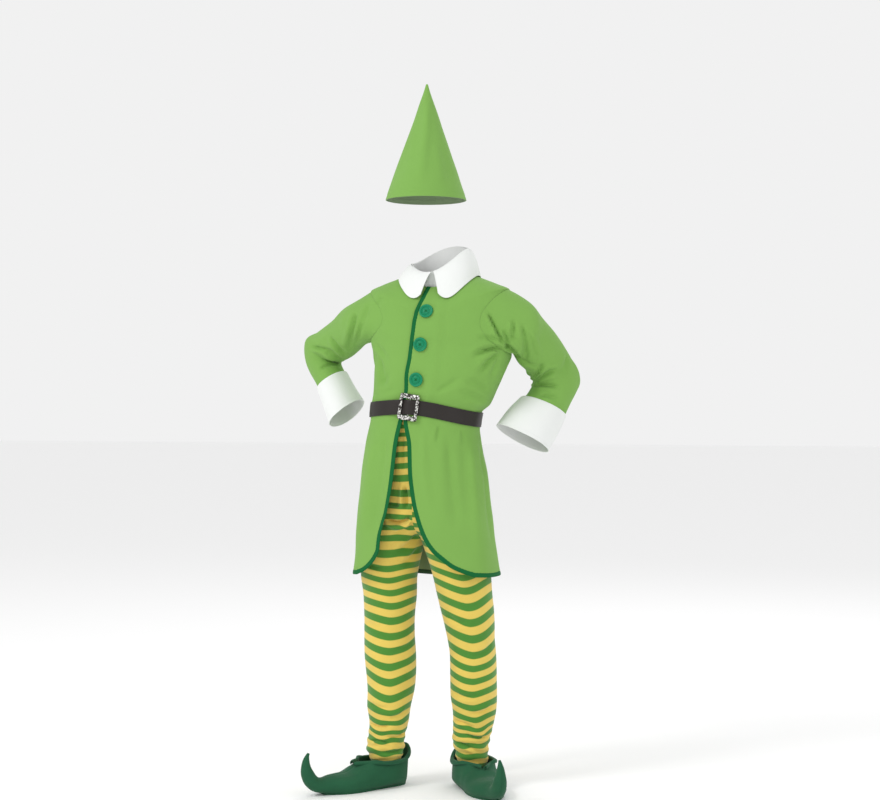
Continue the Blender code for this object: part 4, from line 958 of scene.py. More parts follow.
def add_belt():
    """The strap, with rounded edges and a pressed line inside each."""
    turns = BUCKLE_ANGLE + np.linspace(0, 2 * math.pi, 220, endpoint=False)
    shares = np.linspace(0, 1, 21)
    angles, rows = np.meshgrid(turns, BELT_LOW + (BELT_HIGH - BELT_LOW) * shares)
    off = np.degrees((angles - BUCKLE_ANGLE + math.pi) % (2 * math.pi) - math.pi)
    over_lap = lap((angles + 3 * math.pi) % (2 * math.pi) - math.pi, rows) * ease((off + 34.0) / 20.0)
    over_bar = BELT_OVER_BAR * ease((7.0 - np.abs(off)) / 5.0)
    clear = BELT_CLEAR + over_lap * 1.12 + over_bar
    edge = np.minimum(shares, 1 - shares)[:, None]
    round_off = 0.0007 * np.exp(-((edge / 0.035) ** 2))
    line = 0.0004 * np.exp(-(((edge - 0.10) / 0.025) ** 2))
    wave = 0.0005 * np.sin(5 * angles + 1.0) * (2 * shares[:, None] - 1)
    inner = lifted(body, angles, rows, clear + round_off + wave)
    outer = lifted(body, angles, rows, clear + BELT_THICK - round_off - line + wave)
    belt = add_shell("belt", outer, inner, "belt_black", loop=True)
    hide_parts("belt")


def placed(out, side, up, place):
    """Turns points given along side, up and out into points of the costume."""
    return lambda points: place + points[..., :1] * side + points[..., 1:2] * up + points[..., 2:] * out


def buckle_frame():
    """The way from the buckle's own frame, with +Z out of the belt, to the costume's."""
    angle, level = np.array(BUCKLE_ANGLE), np.array(BUCKLE_LEVEL)
    out = outward(body, angle, level)
    rise = np.array([math.sin(BUCKLE_LEAN), 0, math.cos(BUCKLE_LEAN)])
    rise = unit(rise - (rise @ out) * out)
    return placed(out, np.cross(rise, out), rise, body(angle, level))


def joined(name, parts, finish, sharp=50):
    """One piece of several (points, faces) parts."""
    points, faces, shift = [], [], 0
    for part_points, part_faces in parts:
        points.append(part_points - np.array([0, 0, NECK_HEIGHT]))
        faces += [[corner + shift for corner in face] for face in part_faces]
        shift += len(part_points)
    mesh = bpy.data.meshes.new(name)
    mesh.from_pydata(np.concatenate(points).tolist(), [], faces)
    form = bmesh.new()
    form.from_mesh(mesh)
    bmesh.ops.recalc_face_normals(form, faces=form.faces)
    form.to_mesh(mesh)
    form.free()
    mesh.shade_smooth()
    mesh.set_sharp_from_angle(angle=math.radians(sharp))
    return add_piece(name, mesh, finish)


def lathe(profile, steps, squeeze=(1, 1)):
    """A closed turned form of (reach, height) pairs, of which the first and last lie on its axis."""
    turns = np.linspace(0, 2 * math.pi, steps, endpoint=False)
    points = [(0, 0, profile[0][1])]
    for reach, height in profile[1:-1]:
        points += [(reach * math.cos(t) * squeeze[0], reach * math.sin(t) * squeeze[1], height) for t in turns]
    points.append((0, 0, profile[-1][1]))
    faces = []
    for j in range(steps):
        k = (j + 1) % steps
        faces.append([0, 1 + k, 1 + j])
        for row in range(len(profile) - 3):
            a = 1 + row * steps
            faces.append([a + j, a + k, a + steps + k, a + steps + j])
        last = 1 + (len(profile) - 3) * steps
        faces.append([last + j, last + k, len(points) - 1])
    return np.array(points, float), faces


def swept_loop(path, profile):
    """A closed ring: a profile of (out, height) pairs round a flat closed path in X and Y."""
    run = unit(np.roll(path, -1, 0) - np.roll(path, 1, 0))
    out = np.stack([run[:, 1], -run[:, 0]], -1)
    points = []
    for (x, y), (nx, ny) in zip(path, out):
        points += [(x + nx * reach, y + ny * reach, height) for reach, height in profile]
    faces = []
    wide, count = len(profile), len(path)
    for i in range(count):
        for j in range(wide):
            k, n = (j + 1) % wide, (i + 1) % count
            faces.append([i * wide + j, i * wide + k, n * wide + k, n * wide + j])
    return np.array(points), faces


def round_rectangle(half_wide, half_high, radius, steps):
    """Points round a rectangle with rounded corners."""
    points = []
    for corner, (sx, sy) in enumerate(((1, 1), (-1, 1), (-1, -1), (1, -1))):
        for t in np.linspace(0, math.pi / 2, steps) + corner * math.pi / 2:
            points.append((sx * (half_wide - radius) + radius * math.cos(t), sy * (half_high - radius) + radius * math.sin(t)))
    return np.array(points)


def bead(x, y, reach, height, rise):
    """A low bead on the buckle's frame."""
    slopes = np.linspace(0, math.pi / 2, 5)
    profile = [(0, height - 0.0006), (reach, height - 0.0006)]
    profile += [(reach * math.cos(t), height + rise * math.sin(t)) for t in slopes[1:-1]]
    profile.append((0, height + rise))
    points, faces = lathe(profile, 10)
    return points + np.array([x, y, 0]), faces


def add_buckle():
    """A tall frame with a domed face between two fine rims, a row of beads on it and a bar behind the strap."""
    place = buckle_frame()
    half = BUCKLE_BAR / 2
    base, top = BUCKLE_OUT, BUCKLE_OUT + BUCKLE_THICK
    profile = [
        (-half, base), (-half, top - 0.0006), (-half * 0.86, top), (-half * 0.66, top), (-half * 0.55, top - 0.0008),
        (0.0, top - 0.0003), (half * 0.55, top - 0.0008), (half * 0.66, top), (half * 0.86, top),
        (half, top - 0.0006), (half, base),
    ]
    wide, high = BUCKLE_HALF_WIDE - half, BUCKLE_HALF_HIGH - half
    ring = swept_loop(round_rectangle(wide, high, 0.0012, 5), profile)
    parts = [ring]
    for side in (-1, 1):
        for x in np.linspace(-wide + 0.002, wide - 0.002, 9):
            parts.append(bead(x, side * high, 0.0017, top - 0.0006, 0.0014))
        for y in np.linspace(-high, high, 13)[1:-1]:
            parts.append(bead(side * wide, y, 0.0017, top - 0.0006, 0.0014))
        for x in np.linspace(-wide + 0.0055, wide - 0.0055, 6):
            parts.append(bead(x, side * (high - 0.0044), 0.0024, top - 0.0012, 0.0012))
    for x in (-wide, wide):
        for y in (-high, high):
            parts.append(bead(x * 0.97, y * 0.98, 0.0026, top - 0.0006, 0.0018))
    low, seat = LAP_LIFT + 0.0016, LAP_LIFT + 0.0030
    bar = lathe([(0, -high), (0.0009, -high), (0.0012, 0), (0.0009, high), (0, high)], 12)
    points = bar[0][:, [0, 2, 1]] + np.array([0, 0, (low + seat) / 2])
    parts.append((points, bar[1]))
    for y in (-high, high):
        post = lathe([(0, low), (0.0011, low), (0.0011, base + 0.0005), (0, base + 0.0005)], 10)
        parts.append((post[0] + np.array([0, y, 0]), post[1]))
    piece = joined("buckle", [(place(points), faces) for points, faces in parts], "buckle_silver", 40)
    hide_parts("buckle")


def add_button(name, level, degrees):
    """A four-hole button with a rolled rim, its thread crossed through the holes."""
    angle, level = np.array(math.radians(degrees)), np.array(level)
    out = outward(left_front, angle, level)
    side = unit(np.cross(np.array([0, 0, 1.0]), out))
    place = placed(out, side, np.cross(out, side), left_front(angle, level))
    base, radius, thick = 0.0006, BUTTON_RADIUS, BUTTON_THICK
    rim = [(radius * (0.87 + 0.13 * math.sin(t)), base + thick * (0.5 - 0.5 * math.cos(t))) for t in
           np.linspace(0.2, math.pi * 1.05, 12)]
    dish = [(radius * 0.74, base + thick * 0.86), (radius * 0.66, base + thick * 0.42),
            (radius * 0.54, base + thick * 0.34), (radius * 0.46, base + thick * 0.62),
            (radius * 0.20, base + thick * 0.66)]
    parts = [lathe([(0, base), (radius * 0.80, base)] + rim + dish + [(0, base + thick * 0.66)], 64)]
    face = base + thick * 0.66
    for quarter in range(4):
        turn = math.pi / 4 + quarter * math.pi / 2
        spot = np.array([math.cos(turn), math.sin(turn), 0]) * radius * 0.27
        ring = [(0, face - 0.0002), (0.0018, face - 0.0002), (0.0020, face + 0.0003), (0.0014, face + 0.0004),
                (0.0012, face + 0.0001), (0, face - 0.0001)]
        points, faces = lathe(ring, 18)
        parts.append((points + spot, faces))
    piece = joined(name, [(place(points), faces) for points, faces in parts], "button_green", 45)
    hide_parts(name)
    threads = []
    for way in (1, -1):
        length = radius * 0.27
        tube = lathe([(0, -length), (0.0006, -length), (0.0008, 0), (0.0006, length), (0, length)], 8)
        flat = tube[0][:, [2, 0, 1]]
        turn = way * math.pi / 4
        swung = flat[:, :1] * np.array([math.cos(turn), math.sin(turn), 0])
        swung = swung + flat[:, 1:2] * np.array([-math.sin(turn), math.cos(turn), 0]) + flat[:, 2:] * np.array([0, 0, 1])
        rise = 0.0006 - 0.0010 * (flat[:, 0] / length) ** 2
        swung[:, 2] += face + rise
        threads.append((place(swung), tube[1]))
    joined(name + "_thread", threads, "binding_green")


# Trousers
LEG_COLUMNS = "height x y half_x half_y"
LEG_RIGHT = table(LEG_COLUMNS, [
    (0.042, -0.1120, -0.0200, 0.0300, 0.0320),
    (0.058, -0.1125, -0.0215, 0.0330, 0.0350),
    (0.074, -0.1133, -0.0220, 0.0392, 0.0400),
    (0.103, -0.1116, -0.0200, 0.0388, 0.0410),
    (0.131, -0.1069, -0.0180, 0.0410, 0.0430),
    (0.165, -0.1068, -0.0160, 0.0456, 0.0480),
    (0.199, -0.1032, -0.0140, 0.0492, 0.0520),
    (0.230, -0.1033, -0.0120, 0.0517, 0.0545),
    (0.273, -0.1060, -0.0090, 0.0540, 0.0560),
    (0.313, -0.1085, -0.0070, 0.0532, 0.0560),
    (0.359, -0.1096, -0.0040, 0.0532, 0.0565),
    (0.397, -0.1092, -0.0020, 0.0560, 0.0600),
    (0.436, -0.1120, 0.0000, 0.0593, 0.0640),
    (0.475, -0.1090, 0.0010, 0.0640, 0.0690),
])
LEG_LEFT = table(LEG_COLUMNS, [
    (0.042, 0.0640, 0.0230, 0.0300, 0.0320),
    (0.058, 0.0640, 0.0230, 0.0330, 0.0350),
    (0.074, 0.0629, 0.0230, 0.0345, 0.0385),
    (0.090, 0.0618, 0.0220, 0.0380, 0.0400),
    (0.125, 0.0662, 0.0200, 0.0418, 0.0430),
    (0.158, 0.0695, 0.0180, 0.0455, 0.0480),
    (0.188, 0.0688, 0.0160, 0.0486, 0.0515),
    (0.217, 0.0692, 0.0140, 0.0489, 0.0525),
    (0.251, 0.0696, 0.0120, 0.0491, 0.0535),
    (0.284, 0.0688, 0.0100, 0.0484, 0.0540),
    (0.311, 0.0660, 0.0080, 0.0492, 0.0545),
    (0.337, 0.0631, 0.0070, 0.0521, 0.0560),
    (0.370, 0.0585, 0.0050, 0.0554, 0.0590),
    (0.410, 0.0522, 0.0020, 0.0580, 0.0620),
    (0.441, 0.0480, 0.0000, 0.0605, 0.0650),
    (0.475, 0.0420, 0.0010, 0.0650, 0.0690),
])
HIPS = table("height out half_x front back", [
    (0.514, 0.0660, 0.0664, 0.0715, 0.0770),
    (0.527, 0.0620, 0.0694, 0.0745, 0.0820),
    (0.541, 0.0490, 0.0800, 0.0785, 0.0860),
    (0.558, 0.0260, 0.0980, 0.0820, 0.0895),
    (0.582, 0.0080, 0.1130, 0.0840, 0.0920),
    (0.615, 0.0010, 0.1180, 0.0850, 0.0930),
    (0.660, 0.0000, 0.1170, 0.0840, 0.0910),
    (0.705, 0.0000, 0.1130, 0.0820, 0.0870),
    (0.738, 0.0000, 0.1100, 0.0810, 0.0840),
])
# Each green band's middle as a row of the photo, from the waist down. Both legs share those of the hips.
HIP_BANDS = (344.0, 353.5, 363.0, 372.5, 382.0, 391.5, 401.0, 410.5, 419.0, 427.3, 435.4, 444.4, 454.9, 466.0, 477.9,
             493.2, 506.4, 517.6, 528.7, 539.2)
RIGHT_BANDS = (553.8, 568.7, 580.1, 592.8, 606.2, 621.6, 637.7, 652.4, 667.8, 682.5, 698.6, 713.3, 724.1, 734.1,
               742.1, 754.2, 765.0, 776.0)
LEFT_BANDS = (550.5, 563.5, 576.7, 590.1, 606.9, 622.9, 639.7, 656.4, 669.8, 682.5, 695.3, 708.7, 720.7, 731.4,
              738.8, 748.8, 760.0, 771.0)
# How far the stripes sag in front, at heights above the soles.
SAGS = table("height right left", [
    (0.05, 0.000, 0.004),
    (0.12, 0.006, 0.008),
    (0.18, 0.015, 0.014),
    (0.25, 0.022, 0.020),
    (0.33, 0.018, 0.024),
    (0.40, 0.010, 0.022),
    (0.50, 0.008, 0.014),
    (0.56, 0.004, 0.006),
    (0.80, 0.000, 0.000),
])
LEG_CREASES = table(CREASE_COLUMNS, [
    (383, 516, 400, 523, 415, 513, 4.0, 5.5),
    (404, 484, 406, 498, 405, 512, 4.0, 4.2),
    (402, 430, 403, 450, 404, 480, 3.6, 1.6),
    (416, 520, 405, 529, 390, 534, 4.0, 2.4),
    (419, 532, 408, 545, 394, 552, 5.0, 2.2),
    (420, 545, 411, 558, 399, 564, 5.0, 1.8),
    (382, 500, 392, 505, 403, 502, 3.6, 2.2),
    (362, 560, 372, 566, 384, 568, 4.0, 1.4),
    (364, 620, 375, 626, 388, 626, 5.0, 1.0),
    (414, 640, 404, 648, 392, 650, 5.0, 1.0),
    (366, 700, 378, 707, 392, 708, 3.6, 1.4),
    (409, 708, 398, 716, 386, 718, 3.4, 1.6),
    (369, 722, 380, 727, 394, 725, 2.8, 2.0),
    (408, 731, 396, 737, 382, 735, 2.8, 2.2),
    (369, 742, 380, 741, 392, 746, 2.6, 2.2),
    (404, 747, 394, 752, 380, 752, 2.6, 1.8),
    (490, 560, 476, 566, 462, 562, 5.0, 1.2),
    (445, 612, 457, 622, 470, 620, 5.0, 1.4),
    (494, 640, 484, 652, 472, 656, 5.0, 1.2),
    (452, 690, 464, 697, 480, 694, 4.0, 1.6),
    (494, 704, 482, 712, 468, 713, 3.4, 1.8),
    (453, 720, 464, 724, 478, 731, 2.8, 2.2),
    (491, 735, 478, 738, 464, 734, 2.8, 2.2),
    (455, 742, 466, 746, 480, 753, 2.6, 2.4),
])


def band_heights(rows, depth):
    """The bands' heights above the soles, for cloth this far behind the picture's middle."""
    return CAMERA_HEIGHT - (np.array(rows) - PICTURE[1] / 2) * (CAMERA_FAR + depth) / FOCAL


def stripe_phase(points, middle_x, bands, sag_name, side):
    """Counts green bands up from the ankle. Whole numbers are the bands' middles."""
    hips = band_heights(HIP_BANDS, -0.070)
    lower = band_heights(bands, -0.035 if side < 0 else -0.062)
    heights = np.concatenate([hips, lower])[::-1]
    counts = np.arange(len(heights), dtype=float)
    turn = math.radians(VIEW_DEGREES)
    across = (points[..., 0] - middle_x) * math.cos(turn) + points[..., 1] * math.sin(turn)
    across = across - across.mean(1, keepdims=True)
    half = np.abs(across).max(1, keepdims=True)
    up = points[..., 2]
    sag = smooth(np.clip(up, 0.05, 0.80), SAGS["height"], SAGS[sag_name])
    bunched = ease((0.18 - up) / 0.07)
    wobble = 0.0014 * np.sin(points @ np.array([60.0, 40.0, 25.0]) + side)
    wobble = wobble + 0.0026 * bunched * np.sin(across * 120 + side + up * 40)
    low = up - sag * np.abs(across / half) ** 1.6 + wobble
    return smooth(np.clip(low, heights[0], heights[-1]), heights, counts)


def waist_ring(side, share, level):
    """Angles round the coat's waist from the trousers' front seam over one side to their back seam."""
    middle = float(smooth(level, BODY["level"], BODY["middle"]))
    half = float(smooth(level, BODY["level"], BODY["half_width"]))
    front = -math.acos((CENTRE_SEAM - middle) / half)
    back = -front if side > 0 else -front - 2 * math.pi
    return front + (back - front) * share


def add_leg(name, rows, side, bands):
    """Half of the trousers: half of the hips, and a leg that closes at its inseam and bunches over the shoe."""
    share = np.linspace(0, 1, 101)
    grid = []
    for height, x, y, half_x, half_y in zip(*rows.values()):
        angle = -math.pi + 2 * math.pi * share
        out = side * half_x * np.cos(angle)
        grid.append(np.stack([x + out, y + half_y * np.sin(angle), np.full(angle.shape, height)], -1))
    for height, out, half_x, front, back in zip(*HIPS.values()):
        start = -math.acos(-min(1.0, out / half_x))
        angle = start - 2 * start * share
        depth = np.where(np.sin(angle) < 0, front, back)
        across = CENTRE_SEAM + side * (out + half_x * np.cos(angle))
        grid.append(np.stack([across, depth * np.sin(angle), np.full(angle.shape, height)], -1))
    angles = waist_ring(side, share, WAIST_LOW)
    grid.append(lifted(body, angles, np.full(share.shape, WAIST_LOW), np.full(share.shape, -WAIST_CLEAR)))
    grid = refine(np.array(grid), 330)
    over_rows, over_columns = np.gradient(grid, axis=0), np.gradient(grid, axis=1)
    normals = unit(np.cross(over_columns, over_rows)) * side
    phase = stripe_phase(grid, float(rows["x"][6]), bands, "left" if side > 0 else "right", side)
    moved = crease_depths(grid, normals, LEG_CREASES, VIEW_DEGREES)
    moved += crease_depths(grid, normals, on_the_back(LEG_CREASES), VIEW_DEGREES + 180)
    height = grid[..., 2]
    bunched = ease((0.145 - height) / 0.06) * ease((height - 0.045) / 0.02)
    turn = np.arctan2(grid[..., 1] - rows["y"][3], grid[..., 0] - rows["x"][3])
    moved += 0.0013 * bunched * np.sin(height * 330 + 1.4 * np.sin(turn + side) + 0.8 * np.sin(2 * turn))
    moved += ripple(grid, 0.0010)
    tucked = ease((0.745 - height) / 0.03)
    joint = ease(np.minimum(share, 1 - share) / 0.02)[None] * tucked
    grid = grid + normals * (moved * joint)[..., None]
    leg = add_shell(name, grid, grid - normals * CLOTH, "stripe_yellow", bands=phase)
    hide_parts(name)
    declare(grid)


def add_waistband():
    turns = np.linspace(0, 2 * math.pi, 160, endpoint=False)
    angles, rows = np.meshgrid(turns, np.linspace(WAIST_LOW, WAIST_HIGH, 9))
    gather = 0.0005 * np.sin(48 * angles)
    outer = lifted(body, angles, rows, gather - WAIST_CLEAR)
    inner = lifted(body, angles, rows, gather - WAIST_CLEAR - CLOTH)
    bands = np.full(angles.shape, 0.5)
    piece = add_shell("trouser_waistband", outer, inner, "stripe_yellow", loop=True, bands=bands)
    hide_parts("trouser_waistband")
    declare(outer)


# Hat
HAT_RIM, HAT_TIP = 1.2300, 1.4740
HAT_MIDDLE = (-0.0305, 0.0)
HAT_TIP_SHIFT = 0.002
HAT = table("share half_width half_deep", [
    (0.00, 0.0845, 0.0910),
    (0.03, 0.0825, 0.0890),
    (0.15, 0.0727, 0.0785),
    (0.35, 0.0560, 0.0605),
    (0.60, 0.0350, 0.0378),
    (0.82, 0.0165, 0.0178),
    (0.94, 0.0062, 0.0066),
    (1.00, 0.0020, 0.0021),
])
HAT_CREASES = table(CREASE_COLUMNS, [
    (427, 96, 425, 140, 418, 192, 9.0, -1.6),
    (410, 138, 404, 160, 398, 184, 7.0, 0.9),
    (440, 140, 447, 165, 452, 190, 8.0, 0.9),
])


def add_hat():
    """A felt cone on its rim, with a turned hem, soft dents and a lapped seam down the back."""
    turns = np.linspace(0, 2 * math.pi, 120, endpoint=False)
    grid = []
    for share, wide, deep in zip(*HAT.values()):
        crease = 1 + 0.02 * np.exp(-(((turns - 1.5 * math.pi) / 0.30) ** 2))
        ring = np.stack([np.cos(turns) * wide, np.sin(turns) * deep, 0 * turns], -1) * crease[:, None]
        height = HAT_RIM + (HAT_TIP - HAT_RIM) * share
        grid.append(ring + np.array([HAT_MIDDLE[0] + HAT_TIP_SHIFT * share, HAT_MIDDLE[1], height]))
    grid = refine(np.array(grid), 130)
    normals = grid_normals(grid)
    share = ((grid[..., 2] - HAT_RIM) / (HAT_TIP - HAT_RIM))
    reach = np.linalg.norm(grid[..., :2] - np.array(HAT_MIDDLE), axis=-1)
    moved = crease_depths(grid, normals, HAT_CREASES, VIEW_DEGREES)
    moved += crease_depths(grid, normals, on_the_back(HAT_CREASES), VIEW_DEGREES + 180)
    moved += ripple(grid, 0.0013) * ease(share / 0.1) * ease((0.95 - share) / 0.3)
    moved -= 0.0006 * np.exp(-(((share - 0.035) / 0.006) ** 2))
    lapped = ((turns - math.pi / 2) * reach)
    moved += 0.0009 * ease((lapped + 0.001) / 0.002) * ease((0.009 - lapped) / 0.004) * ease((0.97 - share) / 0.05)
    grid = grid + normals * (moved * ease(reach / 0.02))[..., None]
    wall = np.minimum(FELT, 0.45 * reach)
    inner = grid - normals * wall[..., None]
    hat = add_shell("hat", grid, inner, "coat_green", loop=True)
    cap = [int(index) for index in range((len(grid) - 1) * len(turns), len(grid) * len(turns))]
    form = bmesh.new()
    form.from_mesh(hat.data)
    form.verts.ensure_lookup_table()
    form.faces.new([form.verts[index] for index in cap])
    bmesh.ops.recalc_face_normals(form, faces=form.faces)
    form.to_mesh(hat.data)
    form.free()
    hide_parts("hat")
    declare(grid)


# Shoes, in their own frame: +X from heel to toe, +Z up, as in the solids.
SHOE = table("along height half_width sole above below pitch closed", [
    (0.0000, 0.0200, 0.0008, 0.0007, 0.100, 0.0165, 0, 37.0),
    (0.0010, 0.0200, 0.0060, 0.0050, 0.100, 0.0165, 0, 35.5),
    (0.0050, 0.0200, 0.0180, 0.0150, 0.100, 0.0165, 0, 32.0),
    (0.0140, 0.0200, 0.0290, 0.0240, 0.100, 0.0165, 0, 27.0),
    (0.0300, 0.0200, 0.0370, 0.0295, 0.100, 0.0165, 0, 22.0),
    (0.0550, 0.0200, 0.0440, 0.0310, 0.090, 0.0165, 0, 23.0),
    (0.0850, 0.0200, 0.0450, 0.0325, 0.070, 0.0165, 0, 31.0),
    (0.1080, 0.0190, 0.0420, 0.0345, 0.052, 0.0155, 0, 50.0),
    (0.1210, 0.0185, 0.0415, 0.0360, 0.0400, 0.0150, 0, 72.0),
    (0.1330, 0.0180, 0.0410, 0.0370, 0.0330, 0.0145, 0, 90.0),
    (0.1550, 0.0175, 0.0405, 0.0365, 0.0225, 0.0140, 0, 90.0),
    (0.1780, 0.0175, 0.0370, 0.0320, 0.0205, 0.0140, 0, 90.0),
    (0.2000, 0.0185, 0.0290, 0.0210, 0.0190, 0.0148, 4, 90.0),
    (0.2170, 0.0195, 0.0215, 0.0090, 0.0165, 0.0156, 12, 90.0),
    (0.2330, 0.0230, 0.0175, 0.0002, 0.0155, 0.0160, 32, 90.0),
    (0.2470, 0.0330, 0.0155, 0.0002, 0.0150, 0.0152, 58, 90.0),
    (0.2555, 0.0480, 0.0135, 0.0002, 0.0135, 0.0135, 78, 90.0),
    (0.2590, 0.0620, 0.0100, 0.0002, 0.0100, 0.0100, 90, 90.0),
    (0.2585, 0.0750, 0.0068, 0.0002, 0.0068, 0.0068, 104, 90.0),
    (0.2550, 0.0850, 0.0036, 0.0002, 0.0036, 0.0036, 116, 90.0),
    (0.2525, 0.0885, 0.0026, 0.0002, 0.0026, 0.0026, 120, 90.0),
])
SHOE_ARC_COLUMNS = 9
LIP_ARC = (34, 18, 0)
LIP_OUT, LIP_RISE = np.array([0.0012, 0.0055]), np.array([0.0010, -0.0008])
SOLE_THICK = 0.0032
HEEL_LEAN = 0.0085
SHOES = {
    "right": ((-0.0825, 0.0265), -90 - 35),
    "left": ((0.0360, 0.0700), -90 + 31),
}


def shoe_ring(row, side):
    """One section of a half shoe, from the sole's edge up to its top edge or the seam over the toe."""
    wide, sole, above = row["half_width"], row["sole"], row["above"]
    pitch = math.radians(row["pitch"])
    start = -math.acos(min(1.0, sole / wide))
    drop = row["below"] / -math.sin(start)
    opened = ease((80 - row["closed"]) / 40)
    arcs = np.radians(row["closed"] - (1 - opened) * np.array(LIP_ARC))
    turns = np.linspace(start, arcs[0], SHOE_ARC_COLUMNS)
    across = np.append(wide * np.cos(turns), wide * np.cos(arcs[1:]) + opened * LIP_OUT)
    up = np.append(np.where(turns < 0, drop, above) * np.sin(turns), above * np.sin(arcs[1:]) + opened * LIP_RISE)
    along = row["along"] - up * math.sin(pitch)
    return np.stack([along, side * np.maximum(across, 0.0), row["height"] + up * math.cos(pitch)], -1)


def leaned(points):
    """The heel drawn in towards the sole."""
    low = np.clip(1 - points[..., 2] / 0.070, 0, 1) * ease((0.060 - points[..., 0]) / 0.060)
    return points + np.stack([HEEL_LEAN * low, 0 * low, 0 * low], -1)


def shoe_place(side_name):
    """The way from a shoe's own frame to the costume's."""
    (x, y), degrees = SHOES[side_name]
    turn = math.radians(degrees)
    ahead = np.array([math.cos(turn), math.sin(turn), 0])
    aside = np.array([-math.sin(turn), math.cos(turn), 0])
    return placed(np.array([0, 0, 1.0]), ahead, aside, np.array([x, y, 0.0]))


def add_shoe(side_name):
    """Two halves joined at the heel and over the toe, a turned-down band along the top edge, and a sole."""
    place = shoe_place(side_name)
    edges = {}
    for half, side in (("left_half", 1), ("right_half", -1)):
        grid = np.array([shoe_ring(dict(zip(SHOE, row)), side) for row in zip(*SHOE.values())])
        grid = refine_columns(refine(grid, 120), 44)
        grid[..., 1] = side * np.maximum(side * grid[..., 1], 0)
        grid = leaned(grid)
        over_rows, over_columns = np.gradient(grid, axis=0), np.gradient(grid, axis=1)
        normals = unit(np.cross(over_rows, over_columns))
        normals = normals * np.sign((normals[..., 1] * side).mean())
        reach = np.abs(grid[..., 1])
        wall = np.minimum(FELT, 0.4 * np.maximum(reach.max(1, keepdims=True), 0.001))
        at_seam = ease(reach / 0.004)
        ridge = -0.0007 * np.exp(-((reach / 0.0016) ** 2)) * ease((grid[..., 0] - 0.12) / 0.02)
        moved = (ripple(place(grid), 0.0016) * at_seam + ridge) * ease((0.255 - grid[..., 0]) / 0.02)
        low = ease((grid[..., 2] - 0.004) / 0.006)
        outer = grid + normals * (moved * low)[..., None]
        inner = grid - normals * wall[..., None]
        name = f"shoe_{side_name}_{half}"
        piece = add_shell(name, place(outer), place(inner), "shoe_green")
        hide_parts(name)
        declare(place(outer))
        edges[side] = outer[:, -1][SHOE["along"][0] <= outer[:, -1, 0]]
    add_band(side_name, edges, place)
    add_sole(side_name, place)


BAND_SECTION = table("out rise", [
    (-0.0030, -0.0060),
    (-0.0028, -0.0004),
    (-0.0006, 0.0022),
    (0.0022, 0.0018),
    (0.0040, -0.0008),
    (0.0040, -0.0040),
    (0.0024, -0.0062),
])
BAND_END = 0.131
BAND_HEEL_RISE = 0.0015


def add_band(side_name, edges, place):
    """The soft band turned out and down over the shoe's top edge, with a rolled flap at each end of the instep."""
    runs = []
    for side in (1, -1):
        run = edges[side][edges[side][:, 0] < BAND_END]
        runs.append(run)
    path = np.concatenate([runs[0][::-1], runs[1]])
    gaps = np.linalg.norm(np.diff(path, axis=0), axis=-1)
    path = path[np.concatenate([[True], gaps > 1e-5])]
    at = np.concatenate([[0], np.cumsum(np.linalg.norm(np.diff(path, axis=0), axis=-1))])
    where = np.linspace(0, at[-1], 150)
    path = np.stack([np.interp(where, at, path[:, axis]) for axis in range(3)], -1)
    for _ in range(6):
        path[1:-1] = (path[:-2] + 2 * path[1:-1] + path[2:]) / 4
    run = unit(np.gradient(path, axis=0))
    out = unit(np.cross(run, np.array([0, 0, 1.0])))
    middle = np.array([0.06, 0, 0.07])
    out = out * np.sign((out * (path - middle)).sum(-1).mean())
    share = np.linspace(-1, 1, len(path))
    end = ease((np.abs(share) - 0.84) / 0.16)
    heel = np.exp(-((share / 0.10) ** 2))
    wave = 0.0006 + 0.0010 * np.sin(9.0 * share + 0.6) + 0.0007 * np.sin(17.0 * share + 2.0)
    path = path + out * (0.004 * end)[:, None]
    path[:, 0] += 0.009 * end
    path[:, 2] += BAND_HEEL_RISE * heel + wave * (1 - heel) + 0.004 * end
    widths = 1 + 0.25 * np.sin(6 * share + 1.2) - 0.45 * heel - 0.2 * end
    grid = []
    for out_by, rise in zip(*BAND_SECTION.values()):
        offset = out * (out_by - 0.0024) + np.array([0, 0, 1.0]) * (rise * (widths if rise < 0 else 1 + 0 * widths))[:, None]
        grid.append(path + offset)
    grid = refine(np.array(grid), 22)
    over_rows, over_columns = np.gradient(grid, axis=0), np.gradient(grid, axis=1)
    normals = unit(np.cross(over_rows, over_columns))
    away = grid - (path - out * 0.0032 + np.array([0, 0, -0.006]))[None]
    normals = normals * np.sign((normals * away).sum(-1).mean())
    grid = grid + normals * ripple(place(grid), 0.0012)[..., None]
    band = add_shell(f"shoe_{side_name}_band", place(grid), place(grid - normals * FELT * 0.7), "shoe_green")
    declare(place(grid))


def add_sole(side_name, place):
    """The flat sole, with a soft edge."""
    rows = [dict(zip(SHOE, row)) for row in zip(*SHOE.values())]
    rows = [row for row in rows if row["sole"] > 0.004]
    right = np.array([(row["along"], row["sole"], 0) for row in rows])
    right = refine(right[:, None], 60)[:, 0]
    outline = np.concatenate([right, right[::-1] * np.array([1, -1, 1])])
    centre = np.array([0.11, 0, 0])
    grid = []
    for inward, height in ((0.0, 0.0004), (0.0004, 0.0), (0.004, 0.0)):
        grid.append(outline - unit(outline - centre) * inward + np.array([0, 0, height]))
    top = outline + np.array([0, 0, SOLE_THICK])
    count = len(outline)
    points = leaned(np.concatenate([top] + grid))
    faces = [list(range(count))]
    for row in range(3):
        for j in range(count):
            k = (j + 1) % count
            faces.append([row * count + j, row * count + k, (row + 1) * count + k, (row + 1) * count + j])
    faces.append(list(range(3 * count, 4 * count))[::-1])
    piece = joined(f"shoe_{side_name}_sole", [(place(points), faces)], "shoe_green")
    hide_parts(f"shoe_{side_name}_sole")


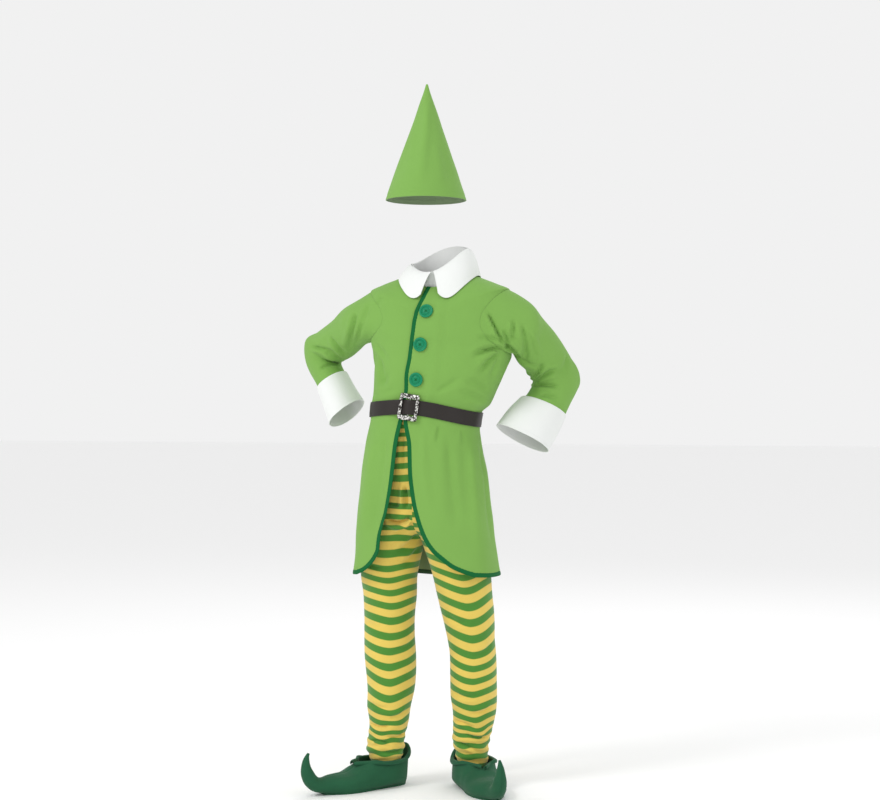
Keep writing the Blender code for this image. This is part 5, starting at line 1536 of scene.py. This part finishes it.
def add_stage():
    """A pale floor, a near-white surround and soft lights."""
    mesh = bpy.data.meshes.new("floor")
    half = 30.0
    low = -NECK_HEIGHT
    mesh.from_pydata([(-half, -half, low), (half, -half, low), (half, half, low), (-half, half, low)], [], [(0, 1, 2, 3)])
    made, tree, shader = new_material("floor_white", (0.96, 0.96, 0.96), 0.9)
    mesh.materials.append(made)
    floor = bpy.data.objects.new("floor", mesh)
    bpy.context.scene.collection.objects.link(floor)
    world = bpy.data.worlds.new("studio")
    world.use_nodes = True
    background = world.node_tree.nodes["Background"]
    background.inputs["Color"].default_value = (1, 1, 1, 1)
    background.inputs["Strength"].default_value = 0.88
    bpy.context.scene.world = world
    lights = {
        "key": ((-2.4, -2.9, 2.3), 1.2, 62.0),
        "fill": ((2.8, -2.6, 1.0), 2.4, 16.0),
        "back": ((0.5, 3.0, 2.2), 2.0, 22.0),
    }
    for name, (place, size, power) in lights.items():
        lamp = bpy.data.lights.new(name, "AREA")
        lamp.size = size
        lamp.energy = power
        thing = bpy.data.objects.new(name, lamp)
        thing.location = place
        aim = np.array([0, 0, -0.2]) - np.array(place)
        thing.rotation_euler = (math.atan2(np.hypot(aim[0], aim[1]), -aim[2]), 0, math.atan2(-aim[0], aim[1]))
        bpy.context.scene.collection.objects.link(thing)


def add_camera():
    data = bpy.data.cameras.new("camera")
    data.sensor_width = 36.0
    data.lens = 36.0 * FOCAL / PICTURE[0]
    camera = bpy.data.objects.new("camera", data)
    camera.location = (CAMERA_FAR * math.sin(VIEW), -CAMERA_FAR * math.cos(VIEW), CAMERA_HEIGHT - NECK_HEIGHT)
    camera.rotation_euler = (math.pi / 2, 0, VIEW)
    bpy.context.scene.collection.objects.link(camera)
    bpy.context.scene.camera = camera


def main():
    add_camera()
    add_back()
    add_front("coat_front_left", left_front, LEFT_EDGE, 1)
    add_front("coat_front_right", body, RIGHT_EDGE, -1)
    add_sleeve("sleeve_left", SLEEVE_LEFT, 1)
    add_sleeve("sleeve_right", SLEEVE_RIGHT, -1)
    add_cuff("cuff_left", CUFF_LEFT)
    add_cuff("cuff_right", CUFF_RIGHT)
    add_collar()
    add_belt()
    add_buckle()
    for name, (level, degrees) in BUTTON_LEVELS.items():
        add_button(name, level, degrees)
    add_leg("trouser_leg_left", LEG_LEFT, 1, LEFT_BANDS)
    add_leg("trouser_leg_right", LEG_RIGHT, -1, RIGHT_BANDS)
    add_waistband()
    add_hat()
    for side_name in SHOES:
        add_shoe(side_name)
    add_stage()
    bpy.context.scene.view_settings.view_transform = "Standard"


main()
